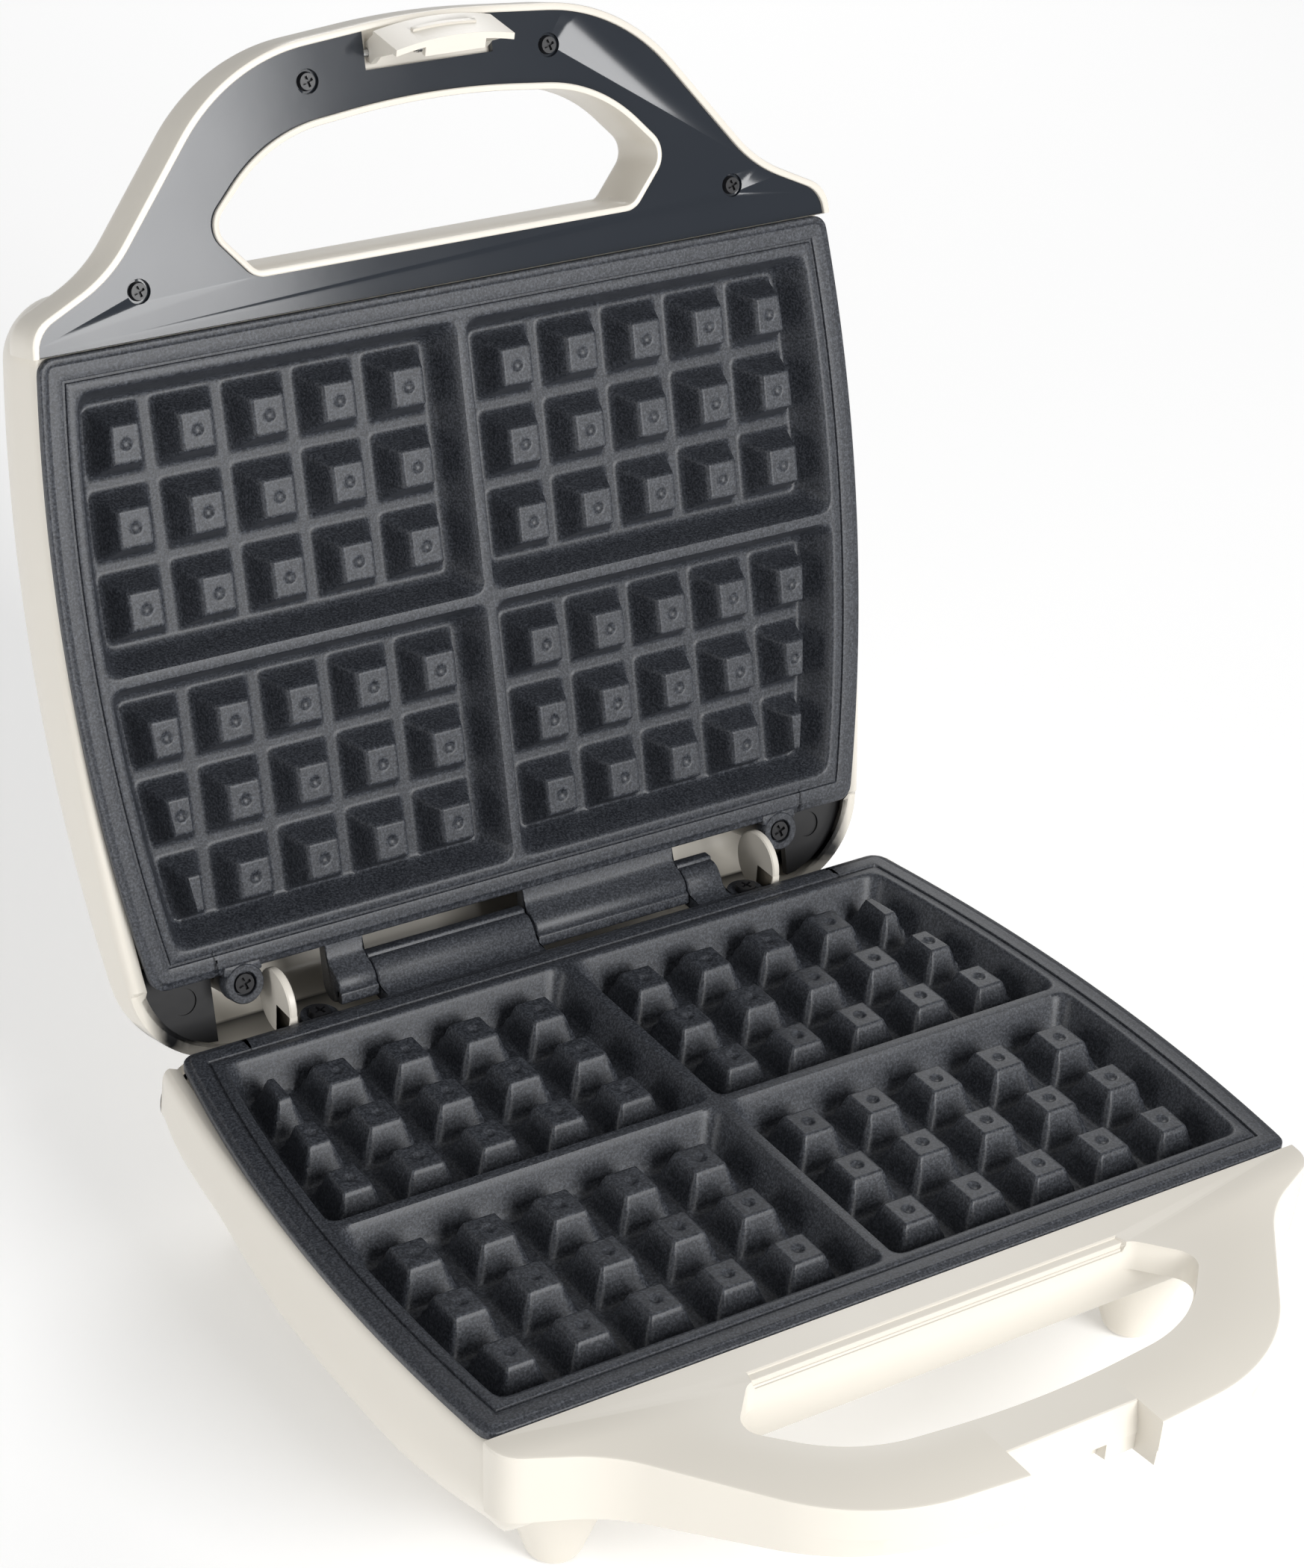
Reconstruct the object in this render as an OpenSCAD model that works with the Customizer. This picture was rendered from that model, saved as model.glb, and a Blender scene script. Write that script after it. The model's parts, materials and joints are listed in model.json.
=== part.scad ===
// Waffle maker with two cast plates, standing open.
// Millimetres, +Z up. The origin is on the table, under the middle of the open machine.
// Most pieces are drawn about the hinge axis with the lid shut: the front is -Y, the parting
// plane of the two plates is z = 0, the base is below it and the lid is above it.

/* [Overall] */
// Width of the housings at their widest
body_w = 263.4; // [245:1:320]
// Distance from the hinge axis to the front wall of the housings
body_front = 205; // [199:1:250]
// Distance from the hinge axis to the rear wall
body_back = 14; // [13.5:0.5:17]
// Height of the parting plane above the table
part_h = 63.6; // [58:0.2:80]
// Depth of the base tub below the parting plane
tub_depth = 50; // [46:1:56]
// Height of the lid dome above the parting plane
dome_h = 50; // [46:1:62]
// Wall of the moulded housings
wall = 2.6; // [2:0.1:3.4]
// How far the lid stands open
lid_open = 105.2; // [95:0.1:108]

/* [Handles] */
// How far the handles reach from the hinge axis
handle_reach = 268.3; // [262:0.5:290]
// Width of the hand opening
grip_w = 145.2; // [110:1:170]
// Thickness of the base handle
base_handle_t = 14.5; // [13:0.5:20]
// Thickness of the lid handle
lid_handle_t = 24; // [18:0.5:28]
// Width of the latch notch in the base handle
notch_w = 40.8; // [38:0.2:60]

/* [Plates] */
// Width of the plates at their widest
plate_w = 262.4; // [244:1:318]
// Distance from the hinge axis to the front edge of the plates
plate_front = 192; // [186:1:230]
// Distance from the hinge axis to the rear edge of the plates
plate_back = 11.5; // [10:0.5:14]
// Thickness of the plate rim
rim_t = 3.6; // [3:0.1:5]
// Width of the rim round the pockets
rim_w = 10; // [8:0.5:13]
// Width of the ribs between the pockets
divider_w = 3.4; // [2.4:0.1:6]
// Spacing of the pyramids across
cell_x = 22; // [20:0.5:24]
// Spacing of the pyramids front to back
cell_y = 23; // [21:0.5:25]
// Height of the pyramids
pyramid_h = 10; // [7:0.5:12]
// Flat top of a pyramid across
pyramid_top_x = 9.6; // [6:0.2:11]
// Flat top of a pyramid front to back
pyramid_top_y = 10.6; // [6:0.2:12]
// Depth of the pyramid tops below the parting plane
tip_gap = 1.9; // [1.2:0.1:4]
// Thickness of the casting under the pockets
casting_t = 3.2; // [2.5:0.1:5]

/* [Hinge] */
// Diameter of the hinge pin
pin_d = 4; // [3:0.1:4.6]
// Radius of the hinge knuckles
knuckle_r = 5.2; // [4.8:0.1:5.6]
// Length of the long knuckles
long_knuckle = 52.8; // [40:0.2:60]
// Length of the short knuckles
short_knuckle = 12.2; // [8:0.2:20]
// Distance of the base plate ears from the centre
base_ear_x = 73.5; // [70:0.5:84]
// Distance of the lid plate ears from the centre
lid_ear_x = 92.2; // [88:0.5:100]

/* [Latch] */
// Width of the latch
latch_w = 37.2; // [30:0.2:37.8]
// Length of the latch below its pivot
latch_len = 15.9; // [15.5:0.1:16.3]
// Thickness of the latch
latch_t = 1.9; // [1.6:0.1:2.2]
// Lean of the relaxed latch towards the base handle
latch_lean = 21.8; // [20:0.2:23]

/* [Heating] */
// Diameter of the heating elements
element_d = 6.4; // [5:0.2:8]
// Bend radius of the heating elements
element_r = 56; // [45:1:60]

/* [Fits] */
// Clearance between pieces that are fastened together
fit = 0.1; // [0.05:0.05:0.3]
// Radial running clearance of pins
run = 0.08; // [0.02:0.01:0.1]
// Gap between pieces of the lid and pieces of the base
gap = 0.4; // [0.3:0.05:1]

/* [Hidden] */

$fn = 48;
// The rest of the plan sizes, all from the hinge axis
foot_x = 95;
foot_front_y = -174;
foot_rear_y = -16;
// Bowed sides of the housings and of the plates: radius, and where they are widest
body_bow_r = 760;
body_bow_y = -110;
plate_bow_r = 560;
plate_bow_y = -125;
body_corner_front = 16;
body_corner_rear = 24;
// Side profile of the tub and the dome: a chamfered shoulder, a straight wall, a quarter ellipse
shoulder_top = rim_t + 0.2;
shoulder_z = 8;
shoulder_in = 2;
side_z = 20;
side_in = 24;
end_in_share = 0.35;
// The tub is shallower towards both ends and its underside rises to the lower edge of the front wall
tub_peak_y = -118;
tub_fall = 5.5e-5;
tub_least = 0.8;
front_edge = 20.3;
// The dome is lower towards the hinge
dome_peak_y = -140;
dome_fall = 0.3 / pow(125, 2);
// Handle plane heights and lips
base_face = 1.5;
lip_face = 0.6;
trim_face = 1.8;
trim_t = 2.2;
lip_w = 2;
grip_lip_w = 1.8;
handle_rise = 0.107;
// The wall of the hand opening ends this far below the parting plane
grip_edge = 10.4;
// The lid's rear wall ends above the parting plane and the base's rear wall well below it
lid_rear_lip = 6;
base_rear_top = 19.8;
stop_r = 9.8;
// Plates
crest = 0.4;
floor_z = tip_gap + pyramid_h;
pocket_slope = 4.5;
cols = 5;
rows = 3;
first_row_y = 36.7;
centre_gap_x = 35.6;
centre_gap_y = 36.75;
row_block = (rows - 1) * cell_y;
divider_y = -(first_row_y + row_block + centre_gap_y / 2);
plate_corner = 4;
ear_y = -7.4;
ear_r = 6;
tongue_x = 60;
// Reflector studs under each plate
stud_x = 96;
stud_y = [-52, -150];
stud_len = 9;
reflector_t = 0.8;
// Screws: thread, head, head height
plate_screw = [3.6, 6.6, 1.8];
small_screw = [2.9, 5.4, 1.5];
// Latch pivot from the hinge axis
latch_y = -(handle_reach - 9.8);
latch_z = 3.2;
latch_face = 8.8;
latch_pin_d = 2.4;
hook_w = 19;
hook_t = 1.7;
// Mains inlet
inlet_x = 40;
inlet_z = -31;
inlet_d = 8;
boss_floor = -tub_depth + wall / 2;

// ---------- shape helpers ----------

// Rounds the corner b of the path a-b-c with radius r, as n + 1 points
function fillet(a, b, c, r, n) =
    let (u = (a - b) / norm(a - b), v = (c - b) / norm(c - b), half = acos(u * v) / 2)
    let (t = r / tan(half), m = (u + v) / norm(u + v), o = b + m * (r / sin(half)))
    let (p = b + u * t - o, q = b + v * t - o)
    let (a0 = atan2(p[1], p[0]), turn = atan2(q[1], q[0]) - a0)
    let (sweep = turn > 180 ? turn - 360 : turn < -180 ? turn + 360 : turn)
    r == 0 ? [b] : [for (i = [0:n]) o + r * [cos(a0 + sweep * i / n), sin(a0 + sweep * i / n)]];

// A closed outline from corners [x, y, radius]
function outline(corners, n = 6) =
    let (k = len(corners))
    [for (i = [0:k - 1]) each fillet(
        [corners[(i + k - 1) % k][0], corners[(i + k - 1) % k][1]],
        [corners[i][0], corners[i][1]],
        [corners[(i + 1) % k][0], corners[(i + 1) % k][1]],
        corners[i][2], n)];

// The mirror image of the corners, walked back the other way
function mirrored(corners) = [for (i = [len(corners) - 1:-1:0]) [-corners[i][0], corners[i][1], corners[i][2]]];

function bow(y, half_w, r, mid) = half_w - (r - sqrt(r * r - pow(y - mid, 2)));

// Plan of a housing, moved in by dx at the sides and dy at the ends, anticlockwise;
// soft widens the front corners and rear the rear ones
function body_plan(dx, dy, soft = 0, rear = 0, n = 6) =
    let (yf = -body_front + dy, yb = body_back - dy)
    let (rf = max(body_corner_front - dx / 3, 6) + soft, rb = max(body_corner_rear - dx / 3, 6) + rear)
    let (half = [for (p = concat(
        [for (i = [0:n]) [-rf + rf * cos(-90 + 90 * i / n), yf + rf + rf * sin(-90 + 90 * i / n)]],
        [for (i = [1:n]) [0, yf + rf + (yb - rb - yf - rf) * i / (n + 1)]],
        [for (i = [0:n]) [-rb + rb * cos(90 * i / n), yb - rb + rb * sin(90 * i / n)]]))
        [p[0] + bow(p[1], body_w / 2 - dx, body_bow_r, body_bow_y), p[1]]])
    concat(half, [for (i = [len(half) - 1:-1:0]) [-half[i][0], half[i][1]]]);

// Plan of a plate, moved in by d
function plate_plan(d, r = plate_corner, n = 8) =
    let (yf = -plate_front + d, yb = -plate_back - d)
    let (side = [for (i = [0:n]) let (y = yf + r + (yb - yf - 2 * r) * i / n)
        [bow(y, plate_w / 2 - d, plate_bow_r, plate_bow_y), y]])
    let (xf = bow(yf, plate_w / 2 - d, plate_bow_r, plate_bow_y))
    let (xb = bow(yb, plate_w / 2 - d, plate_bow_r, plate_bow_y))
    let (half = concat(
        fillet([0, yf], [xf, yf], side[0], r * 0.9, 4),
        [for (i = [1:n - 1]) side[i]],
        fillet(side[n], [xb, yb], [0, yb], r * 0.9, 4)))
    concat(half, [for (i = [len(half) - 1:-1:0]) [-half[i][0], half[i][1]]]);

// Plan of a handle, moved in by d: square shoulders, hollow flanks and a shallow front arc
shoulder_x = body_w / 2 - 2.9;
function handle_half(d) = [
    [shoulder_x + 0.2 - d, -plate_front - gap, 0],
    [shoulder_x - 0.3 - d, -plate_front - 8.3 + d * 0.6, 9],
    [shoulder_x - 24 - d * 0.7, -plate_front - 19.6 + d * 0.8, 42],
    [shoulder_x - 65.4 - d * 0.6, -handle_reach + 5.4 + d, 58 - d],
    [0, -handle_reach + d, 240 - d]];
function handle_plan(d) = let (h = handle_half(d)) outline(
    concat(h, mirrored([for (i = [0:len(h) - 2]) h[i]])), 8);

// Plan of the hand opening, grown by d
function grip_half(d) = [
    [grip_w / 2 - 12 + d * 0.4, -body_front - 0.2 + d, 5 + d],
    [grip_w / 2 + d * 1.2, -body_front - 13.6 - d * 0.1, 6 + d],
    [grip_w / 2 - 20.4 + d * 0.6, -handle_reach + 28.8 - d, 44 + d],
    [0, -handle_reach + 23.1 - d, 250 + d]];
function grip_plan(d) = let (h = grip_half(d)) outline(
    concat(h, mirrored([for (i = [0:len(h) - 2]) h[i]])), 7);

// A closed skin through rings of points that run anticlockwise, lowest ring first
module loft(rings) {
    n = len(rings[0]);
    m = len(rings);
    low = [0, (rings[0][0][1] + rings[0][floor(n / 2)][1]) / 2, rings[0][0][2]];
    centre_y = -(body_front - body_back) / 2;
    pts = concat([for (r = rings) each r], [[0, centre_y, low[2]]],
        [[0, centre_y, max([for (p = rings[m - 1]) p[2]])]]);
    sides = [for (j = [0:m - 2]) for (i = [0:n - 1]) let (k = (i + 1) % n)
        each [[j * n + i, (j + 1) * n + i, (j + 1) * n + k], [j * n + i, (j + 1) * n + k, j * n + k]]];
    ends = [for (i = [0:n - 1]) let (k = (i + 1) % n)
        each [[m * n, i, k], [m * n + 1, (m - 1) * n + k, (m - 1) * n + i]]];
    polyhedron(points = pts, faces = concat(sides, ends), convexity = 6);
}

// How far the side of a housing is in at each angle of its quarter ellipse, and how high
function profile(depth, w) = concat(
    [for (a = [90:-10:0]) [side_in * (1 - cos(a)) + w, side_z + (depth - w - side_z) * sin(a)]],
    [[w, shoulder_z], [shoulder_in + w, shoulder_top]]);

function tub_scale(y) = max(tub_least, min(1, 1.05 - tub_fall * pow(y - tub_peak_y, 2)));
function tub_ring(p, w, flat) =
    [for (q = body_plan(p[0], w + (p[0] - w) * end_in_share, w * 3, 4 + min(12, max(0, p[1] - base_rear_top))))
        [q[0], q[1], flat || p[1] <= shoulder_z ? -p[1] : -shoulder_z - (p[1] - shoulder_z) * tub_scale(q[1])]];
function tub_rings(w) = concat([tub_ring([side_in + 22 + w, tub_depth - w], w, true)],
    [for (p = profile(tub_depth, w)) tub_ring(p, w, false)]);

function dome_scale(y) = 1 - dome_fall * pow(y - dome_peak_y, 2);
function dome_rings(w) = let (f = profile(dome_h, w)) [for (i = [len(f) - 1:-1:0])
    [for (q = body_plan(f[i][0], w + (f[i][0] - w) * end_in_share, w * 3))
        [q[0], q[1], f[i][1] > shoulder_z ? shoulder_z + (f[i][1] - shoulder_z) * dome_scale(q[1]) : f[i][1]]]];

// The origin is under the middle of the open machine's box
back_reach = max([for (ring = dome_rings(0)) for (q = ring) q[1] * cos(lid_open) + q[2] * sin(lid_open)]);
hinge_y = (handle_reach - back_reach) / 2;

module at_hinge() { translate([0, hinge_y, part_h]) children(); }
module at_lid() { at_hinge() rotate([-lid_open, 0, 0]) children(); }
module both_sides() { children(); mirror([1, 0, 0]) children(); }

// A cross-head screw, head up, with the underside of its head at z = 0
module screw(kind, len) {
    difference() {
        union() {
            cylinder(d1 = kind[1], d2 = kind[1] - 0.8, h = kind[2]);
            translate([0, 0, -len]) cylinder(d = kind[0], h = len + 0.01);
        }
        for (a = [0, 90]) rotate([0, 0, a + 20])
            translate([-kind[1] * 0.3, -kind[1] * 0.07, kind[2] * 0.35]) cube([kind[1] * 0.6, kind[1] * 0.14, 5]);
    }
}

module post(x, y, r, z0, z1) { translate([x, y, z0]) cylinder(r = r, h = z1 - z0); }
module bore(x, y, d, z0, z1) { translate([x, y, z0]) cylinder(d = d, h = z1 - z0); }
module bar_x(x0, x1, y, z, d) { translate([x0, y, z]) rotate([0, 90, 0]) cylinder(d = d, h = x1 - x0); }
module bar_y(y0, y1, x, z, d) { translate([x, y1, z]) rotate([90, 0, 0]) cylinder(d = d, h = y1 - y0); }
module slab(x0, x1, y0, y1, z0, z1) { translate([x0, y0, z0]) cube([x1 - x0, y1 - y0, z1 - z0]); }

// ---------- the two plates ----------

pocket_in = plate_front - rim_w;
pocket_out = plate_back + rim_w - 0.5;

// Corners of one pocket on the right, moved in by d; row is 0 at the hinge and 1 at the front
function pocket_plan(row, d) =
    let (ya = row == 0 ? -pocket_out : divider_y - divider_w / 2)
    let (yb = row == 0 ? divider_y + divider_w / 2 : -pocket_in)
    let (w = plate_w / 2 - rim_w - d, x0 = divider_w / 2 + d, mid = (ya + yb) / 2)
    outline([
        [x0, ya - d, 3.5],
        [bow(ya - d, w, plate_bow_r, plate_bow_y), ya - d, 4],
        [bow(mid, w, plate_bow_r, plate_bow_y), mid, 0],
        [bow(yb + d, w, plate_bow_r, plate_bow_y), yb + d, 4],
        [x0, yb + d, 3.5]], 4);

module pocket(row) {
    hull() {
        translate([0, 0, -crest + 0.01]) linear_extrude(0.01) polygon(pocket_plan(row, 0));
        translate([0, 0, -floor_z]) linear_extrude(0.01) polygon(pocket_plan(row, pocket_slope));
    }
}

function col_x(k) = centre_gap_x / 2 + k * cell_x;
function row_y(r) = -(first_row_y + (r % rows) * cell_y + (r < rows ? 0 : row_block + centre_gap_y));

// The pyramids are where ridges that run across meet ridges that run front to back
module ridges(top, base) {
    rotate([90, 0, 0]) linear_extrude(plate_front)
        for (k = [0:cols - 1]) for (s = [-1, 1]) translate([s * col_x(k), 0]) polygon([
            [-base / 2, -floor_z - 0.5], [base / 2, -floor_z - 0.5], [top / 2, -tip_gap], [-top / 2, -tip_gap]]);
}

module cross_ridges(top, base) {
    rotate([90, 0, 90]) translate([0, 0, -plate_w / 2]) linear_extrude(plate_w)
        for (r = [0:2 * rows - 1]) translate([row_y(r), 0]) polygon([
            [-base / 2, -floor_z - 0.5], [base / 2, -floor_z - 0.5], [top / 2, -tip_gap], [-top / 2, -tip_gap]]);
}

// The bowed field that trims the outer pyramids
module pyramid_field() {
    hull() {
        translate([0, 0, -floor_z - 0.5]) linear_extrude(0.01) polygon(plate_plan(rim_w + pocket_slope + 2.6));
        translate([0, 0, -tip_gap + 0.5]) linear_extrude(0.01) polygon(plate_plan(rim_w + pocket_slope + 6.1));
    }
}

module dimples() {
    for (r = [0:2 * rows - 1]) for (k = [0:cols - 1]) for (s = [-1, 1])
        if (!(k == cols - 1 && r == 0))
            translate([s * (col_x(k) - (k == cols - 1 ? [0, 1.8, 0.6, 0, 0, 0.6][r] : 0)), row_y(r),
                -tip_gap + 1.6]) sphere(r = 2.2, $fn = 24);
}

// A knuckle from x0 to x1: barrel, arm to the plate and the lip along its far side
module knuckle(x0, x1) {
    bar_x(x0, x1, 0, 0, 2 * knuckle_r);
    slab(x0, x1, -plate_back - 1, -1, -knuckle_r, -crest - 1.2);
    slab(x0, x1, 1.2, 4.6, 3.6, 5.6);
}

// Barrel joints of the lower plate; the upper plate's fill the places between them
long_from = gap;
long_to = gap + long_knuckle;
short_from = long_to + gap;
short_to = short_from + short_knuckle;

module casting(ear_x, ear_low, ear_high, sink) {
    difference() {
        union() {
            difference() {
                union() {
                    translate([0, 0, -rim_t]) linear_extrude(rim_t - crest) polygon(plate_plan(0));
                    translate([0, 0, -floor_z - casting_t]) linear_extrude(floor_z)
                        polygon(plate_plan(rim_w - casting_t));
                }
                for (row = [0, 1]) both_sides() pocket(row);
                // Grooved step round the rim
                difference() {
                    translate([0, 0, -crest - 0.7]) linear_extrude(3) polygon(plate_plan(-5));
                    translate([0, 0, -crest - 1]) linear_extrude(4) polygon(plate_plan(2));
                }
                difference() {
                    translate([0, 0, -crest - 0.8]) linear_extrude(3) polygon(plate_plan(6.2, 3));
                    translate([0, 0, -crest - 1]) linear_extrude(4) polygon(plate_plan(7.3, 3));
                }
            }
            difference() {
                intersection() {
                    ridges(pyramid_top_x, 17.4);
                    cross_ridges(pyramid_top_y, 18.8);
                    pyramid_field();
                }
                dimples();
            }
            knuckle(-long_to, -long_from);
            knuckle(short_from, short_to);
            for (s = [-1, 1]) {
                post(s * ear_x, ear_y, ear_r, ear_low, ear_high);
                slab(s * ear_x - ear_r, s * ear_x + ear_r, -plate_back - 1, ear_y, ear_low, min(ear_high, -crest));
                slab(s * tongue_x - 8, s * tongue_x + 8, -plate_front - 4, -plate_front + 10, -rim_t - 4, -rim_t - 1.6);
                slab(s * tongue_x - 8, s * tongue_x + 8, -plate_front + 3, -plate_front + 10, -rim_t - 4, -rim_t + 0.1);
                for (y = stud_y) post(s * stud_x, y, 4, -floor_z - casting_t - stud_len, -floor_z - casting_t + 1);
            }
        }
        children();
        for (s = [-1, 1]) {
            bore(s * ear_x, ear_y, plate_screw[0] + 0.8, ear_low - 1, ear_high + 1);
            bore(s * ear_x, ear_y, plate_screw[1] + 0.6, ear_high - sink, ear_high + 3);
            for (y = stud_y) bore(s * stud_x, y, small_screw[0], -floor_z - casting_t - stud_len - 1,
                -floor_z - casting_t - 1);
        }
    }
}

base_ear_top = -3.4;
base_ear_sink = 0.1;
lid_ear_top = -0.2;
lid_ear_sink = 2.2;

module lower_plate() {
    color("#26282c") at_hinge() casting(base_ear_x, base_ear_top - 3.4, base_ear_top, base_ear_sink)
        bar_x(-long_to - 1, short_to + 1, 0, 0, pin_d + 0.04);
}

// The upper plate is the same casting turned over, with its ears further out
module upper_plate() {
    color("#26282c") at_lid() rotate([0, 180, 0]) casting(lid_ear_x, lid_ear_top - 5, lid_ear_top, lid_ear_sink)
        bar_x(-long_to - 1, short_to + 1, 0, 0, pin_d + 2 * run);
}

module plate_screws(ear_x, seat, len) {
    for (s = [-1, 1]) translate([s * ear_x, ear_y, seat]) screw(plate_screw, len);
}

module lower_plate_screws() { color("#17181a") at_hinge() plate_screws(base_ear_x, base_ear_top - base_ear_sink, 11); }
module upper_plate_screws() {
    color("#17181a") at_lid() rotate([0, 180, 0]) plate_screws(lid_ear_x, lid_ear_top - lid_ear_sink, 12);
}

module hinge_pin() {
    color("#b9bcc0") at_hinge() bar_x(-short_to + 0.5, short_to - 0.5, 0, 0, pin_d);
}

// ---------- heating, drawn for the base and turned over for the lid ----------

element_z = -floor_z - casting_t - element_d / 2;
element_y = -112;

// A sheathed element bent into a hairpin, with a thinner cold pin at each end
module element() {
    translate([0, element_y, element_z]) difference() {
        rotate_extrude() translate([element_r, 0]) circle(d = element_d);
        slab(-element_r - 10, element_r + 10, 0, element_r + 10, -10, 10);
    }
    for (s = [-1, 1]) {
        bar_y(element_y, -38, s * element_r, element_z, element_d);
        bar_y(-38, -28.4, s * element_r, element_z, 3);
    }
}

// The pressed steel tray that throws the heat back at the plate
reflector_top = -floor_z - casting_t - stud_len;
reflector_x = stud_x + 8;
module reflector() {
    difference() {
        union() {
            slab(-reflector_x, reflector_x, -166, -36, reflector_top - reflector_t, reflector_top);
            for (s = [-1, 1]) slab(s * reflector_x - reflector_t / 2, s * reflector_x + reflector_t / 2,
                -166, -36, reflector_top - reflector_t, reflector_top + 6);
        }
        for (s = [-1, 1]) for (y = stud_y) bore(s * stud_x, y, small_screw[0] + 0.4, reflector_top - 5, reflector_top + 5);
        for (y = [-140:18:-60]) slab(-30, 30, y, y + 5, reflector_top - 5, reflector_top + 5);
    }
}

module reflector_screws() {
    for (s = [-1, 1]) for (y = stud_y) translate([s * stud_x, y, reflector_top - reflector_t])
        rotate([180, 0, 0]) screw(small_screw, 7);
}

module lower_element() { color("#6e6a63") at_hinge() element(); }
module upper_element() { color("#6e6a63") at_lid() rotate([0, 180, 0]) element(); }
module lower_reflector() { color("#b4b6b8") at_hinge() reflector(); }
module upper_reflector() { color("#b4b6b8") at_lid() rotate([0, 180, 0]) reflector(); }
module lower_reflector_screws() { color("#a9abae") at_hinge() reflector_screws(); }
module upper_reflector_screws() { color("#a9abae") at_lid() rotate([0, 180, 0]) reflector_screws(); }

// A bimetal disc thermostat on the back of the upper plate
module thermostat() {
    color("#d8d3c4") at_lid() rotate([0, 180, 0]) translate([0, -92, -floor_z - casting_t - 0.2]) {
        translate([0, 0, -3]) cylinder(d = 17, h = 3);
        translate([0, 0, -7.5]) cylinder(d = 14.5, h = 4.6);
        for (s = [-1, 1]) translate([s * 4 - 0.4, -3, -8.8]) cube([0.8, 6, 1.5]);
    }
}

// A thermal fuse in its sleeve under the lower plate
module thermal_fuse() {
    color("#e9e6dc") at_hinge() {
        bar_x(-14, 14, -92, -floor_z - casting_t - 2.4, 4.4);
        bar_x(-24, 24, -92, -floor_z - casting_t - 2.4, 1.2);
    }
}

// ---------- wiring ----------

wire_y = -26;
module element_leads(z) {
    for (s = [-1, 1]) {
        bar_x(min(s * element_r, s * 20), max(s * element_r, s * 20), wire_y, z, 2.6);
        translate([s * element_r, wire_y, z]) sphere(d = 4.4, $fn = 24);
        translate([s * 20, wire_y, z]) sphere(d = 4.4, $fn = 24);
    }
}

module lower_wires() { color("#f0eee6") at_hinge() element_leads(element_z); }
module upper_wires() { color("#f0eee6") at_lid() rotate([0, 180, 0]) element_leads(element_z); }

block_floor = -tub_depth + wall + fit;
module terminal_block() {
    color("#ece8db") at_hinge() difference() {
        slab(-16, 16, -36, -20, block_floor, block_floor + 11);
        for (x = [-10, 0, 10]) {
            bar_y(-40, -10, x, block_floor + 4, 3.4);
            bore(x, -28, 4, block_floor + 5, block_floor + 20);
        }
    }
}

clamp_z = inlet_z - 1;
module cord_clamp() {
    color("#ded9cc") at_hinge() difference() {
        slab(inlet_x - 13, inlet_x + 13, -16, -8, clamp_z, clamp_z + 5);
        bar_y(-20, 0, inlet_x, clamp_z - 1, inlet_d);
        for (s = [-1, 1]) bore(inlet_x + s * 9.5, -12, small_screw[0] + 0.4, clamp_z - 1, clamp_z + 8);
    }
}

module cord_clamp_screws() {
    color("#a9abae") at_hinge() for (s = [-1, 1]) translate([inlet_x + s * 9.5, -12, clamp_z + 5])
        screw(small_screw, 8);
}

// The rubber gland of the mains inlet, held by its groove in the rear wall
inlet_face = body_back + 1.2;
module cord_gland() {
    color("#1c1d1f") at_hinge() translate([inlet_x, inlet_face, inlet_z]) rotate([90, 0, 0]) rotate_extrude()
        polygon([[inlet_d / 2, -3], [inlet_d / 2, wall + 4], [inlet_d / 2 + 3.6, wall + 4],
            [inlet_d / 2 + 3.6, wall + 2 + fit], [inlet_d / 2 + 2, wall + 2 + fit], [inlet_d / 2 + 2, -fit],
            [inlet_d / 2 + 4, -fit], [inlet_d / 2 + 3.2, -3]]);
}

// ---------- base housing ----------

// The two small steps along the rear edge of the hand opening
module grip_steps() {
    half_w = grip_w / 2 - 13.6;
    slab(-half_w, half_w, -body_front - 1, -body_front + 3.4, -base_face - 1.3, 1);
    slab(-half_w, half_w, -body_front - 1, -body_front + 1.7, -base_face - 2.7, 1);
}

// The notch for the latch: a lead-in ramp, a lip to hook under and a recess behind the lip
lip_z = -10.9;
ramp_top = latch_y + 2.05;
ramp_foot = latch_y + 0.65;
module latch_notch() {
    translate([-notch_w / 2, 0, 0]) rotate([90, 0, 90]) linear_extrude(notch_w) polygon([
        [-handle_reach - 5, 1], [ramp_top, 1], [ramp_top, -base_face], [ramp_foot, lip_z],
        [ramp_foot + 0.3, lip_z - 0.2], [ramp_foot + 0.3, -30], [-handle_reach - 5, -30]]);
    slab(-notch_w / 2, notch_w / 2, -handle_reach - 5, latch_y + 4, -30, lip_z - 0.25);
}

module base_handle() {
    difference() {
        translate([0, 0, -base_face - base_handle_t - 7]) linear_extrude(base_handle_t + 7) polygon(handle_plan(0));
        // The underside rises towards the front
        rotate([90, 0, 90]) translate([0, -base_face - base_handle_t, -body_w]) linear_extrude(2 * body_w) polygon([
            [-handle_reach - 9, -20], [-handle_reach - 9, 0], [-handle_reach + 6, 0],
            [-handle_reach + 106, -100 * handle_rise], [-handle_reach + 106, -20]]);
        translate([0, 0, -base_face - base_handle_t - 8]) linear_extrude(base_handle_t + 8 - wall) difference() {
            polygon(handle_plan(wall));
            polygon(grip_plan(wall));
            translate([-notch_w / 2 - wall, -handle_reach - 1]) square([notch_w + 2 * wall, 19]);
            translate([-body_w, -body_front - 1]) square([2 * body_w, 60]);
        }
        translate([0, 0, -40]) linear_extrude(60) polygon(grip_plan(0));
        // The wall of the hand opening is lower than the outer wall
        translate([0, 0, -40]) linear_extrude(40 - grip_edge) difference() {
            polygon(grip_plan(wall + 0.3));
            translate([-body_w, -body_front - 0.4]) square([2 * body_w, 60]);
        }
    }
}

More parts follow.
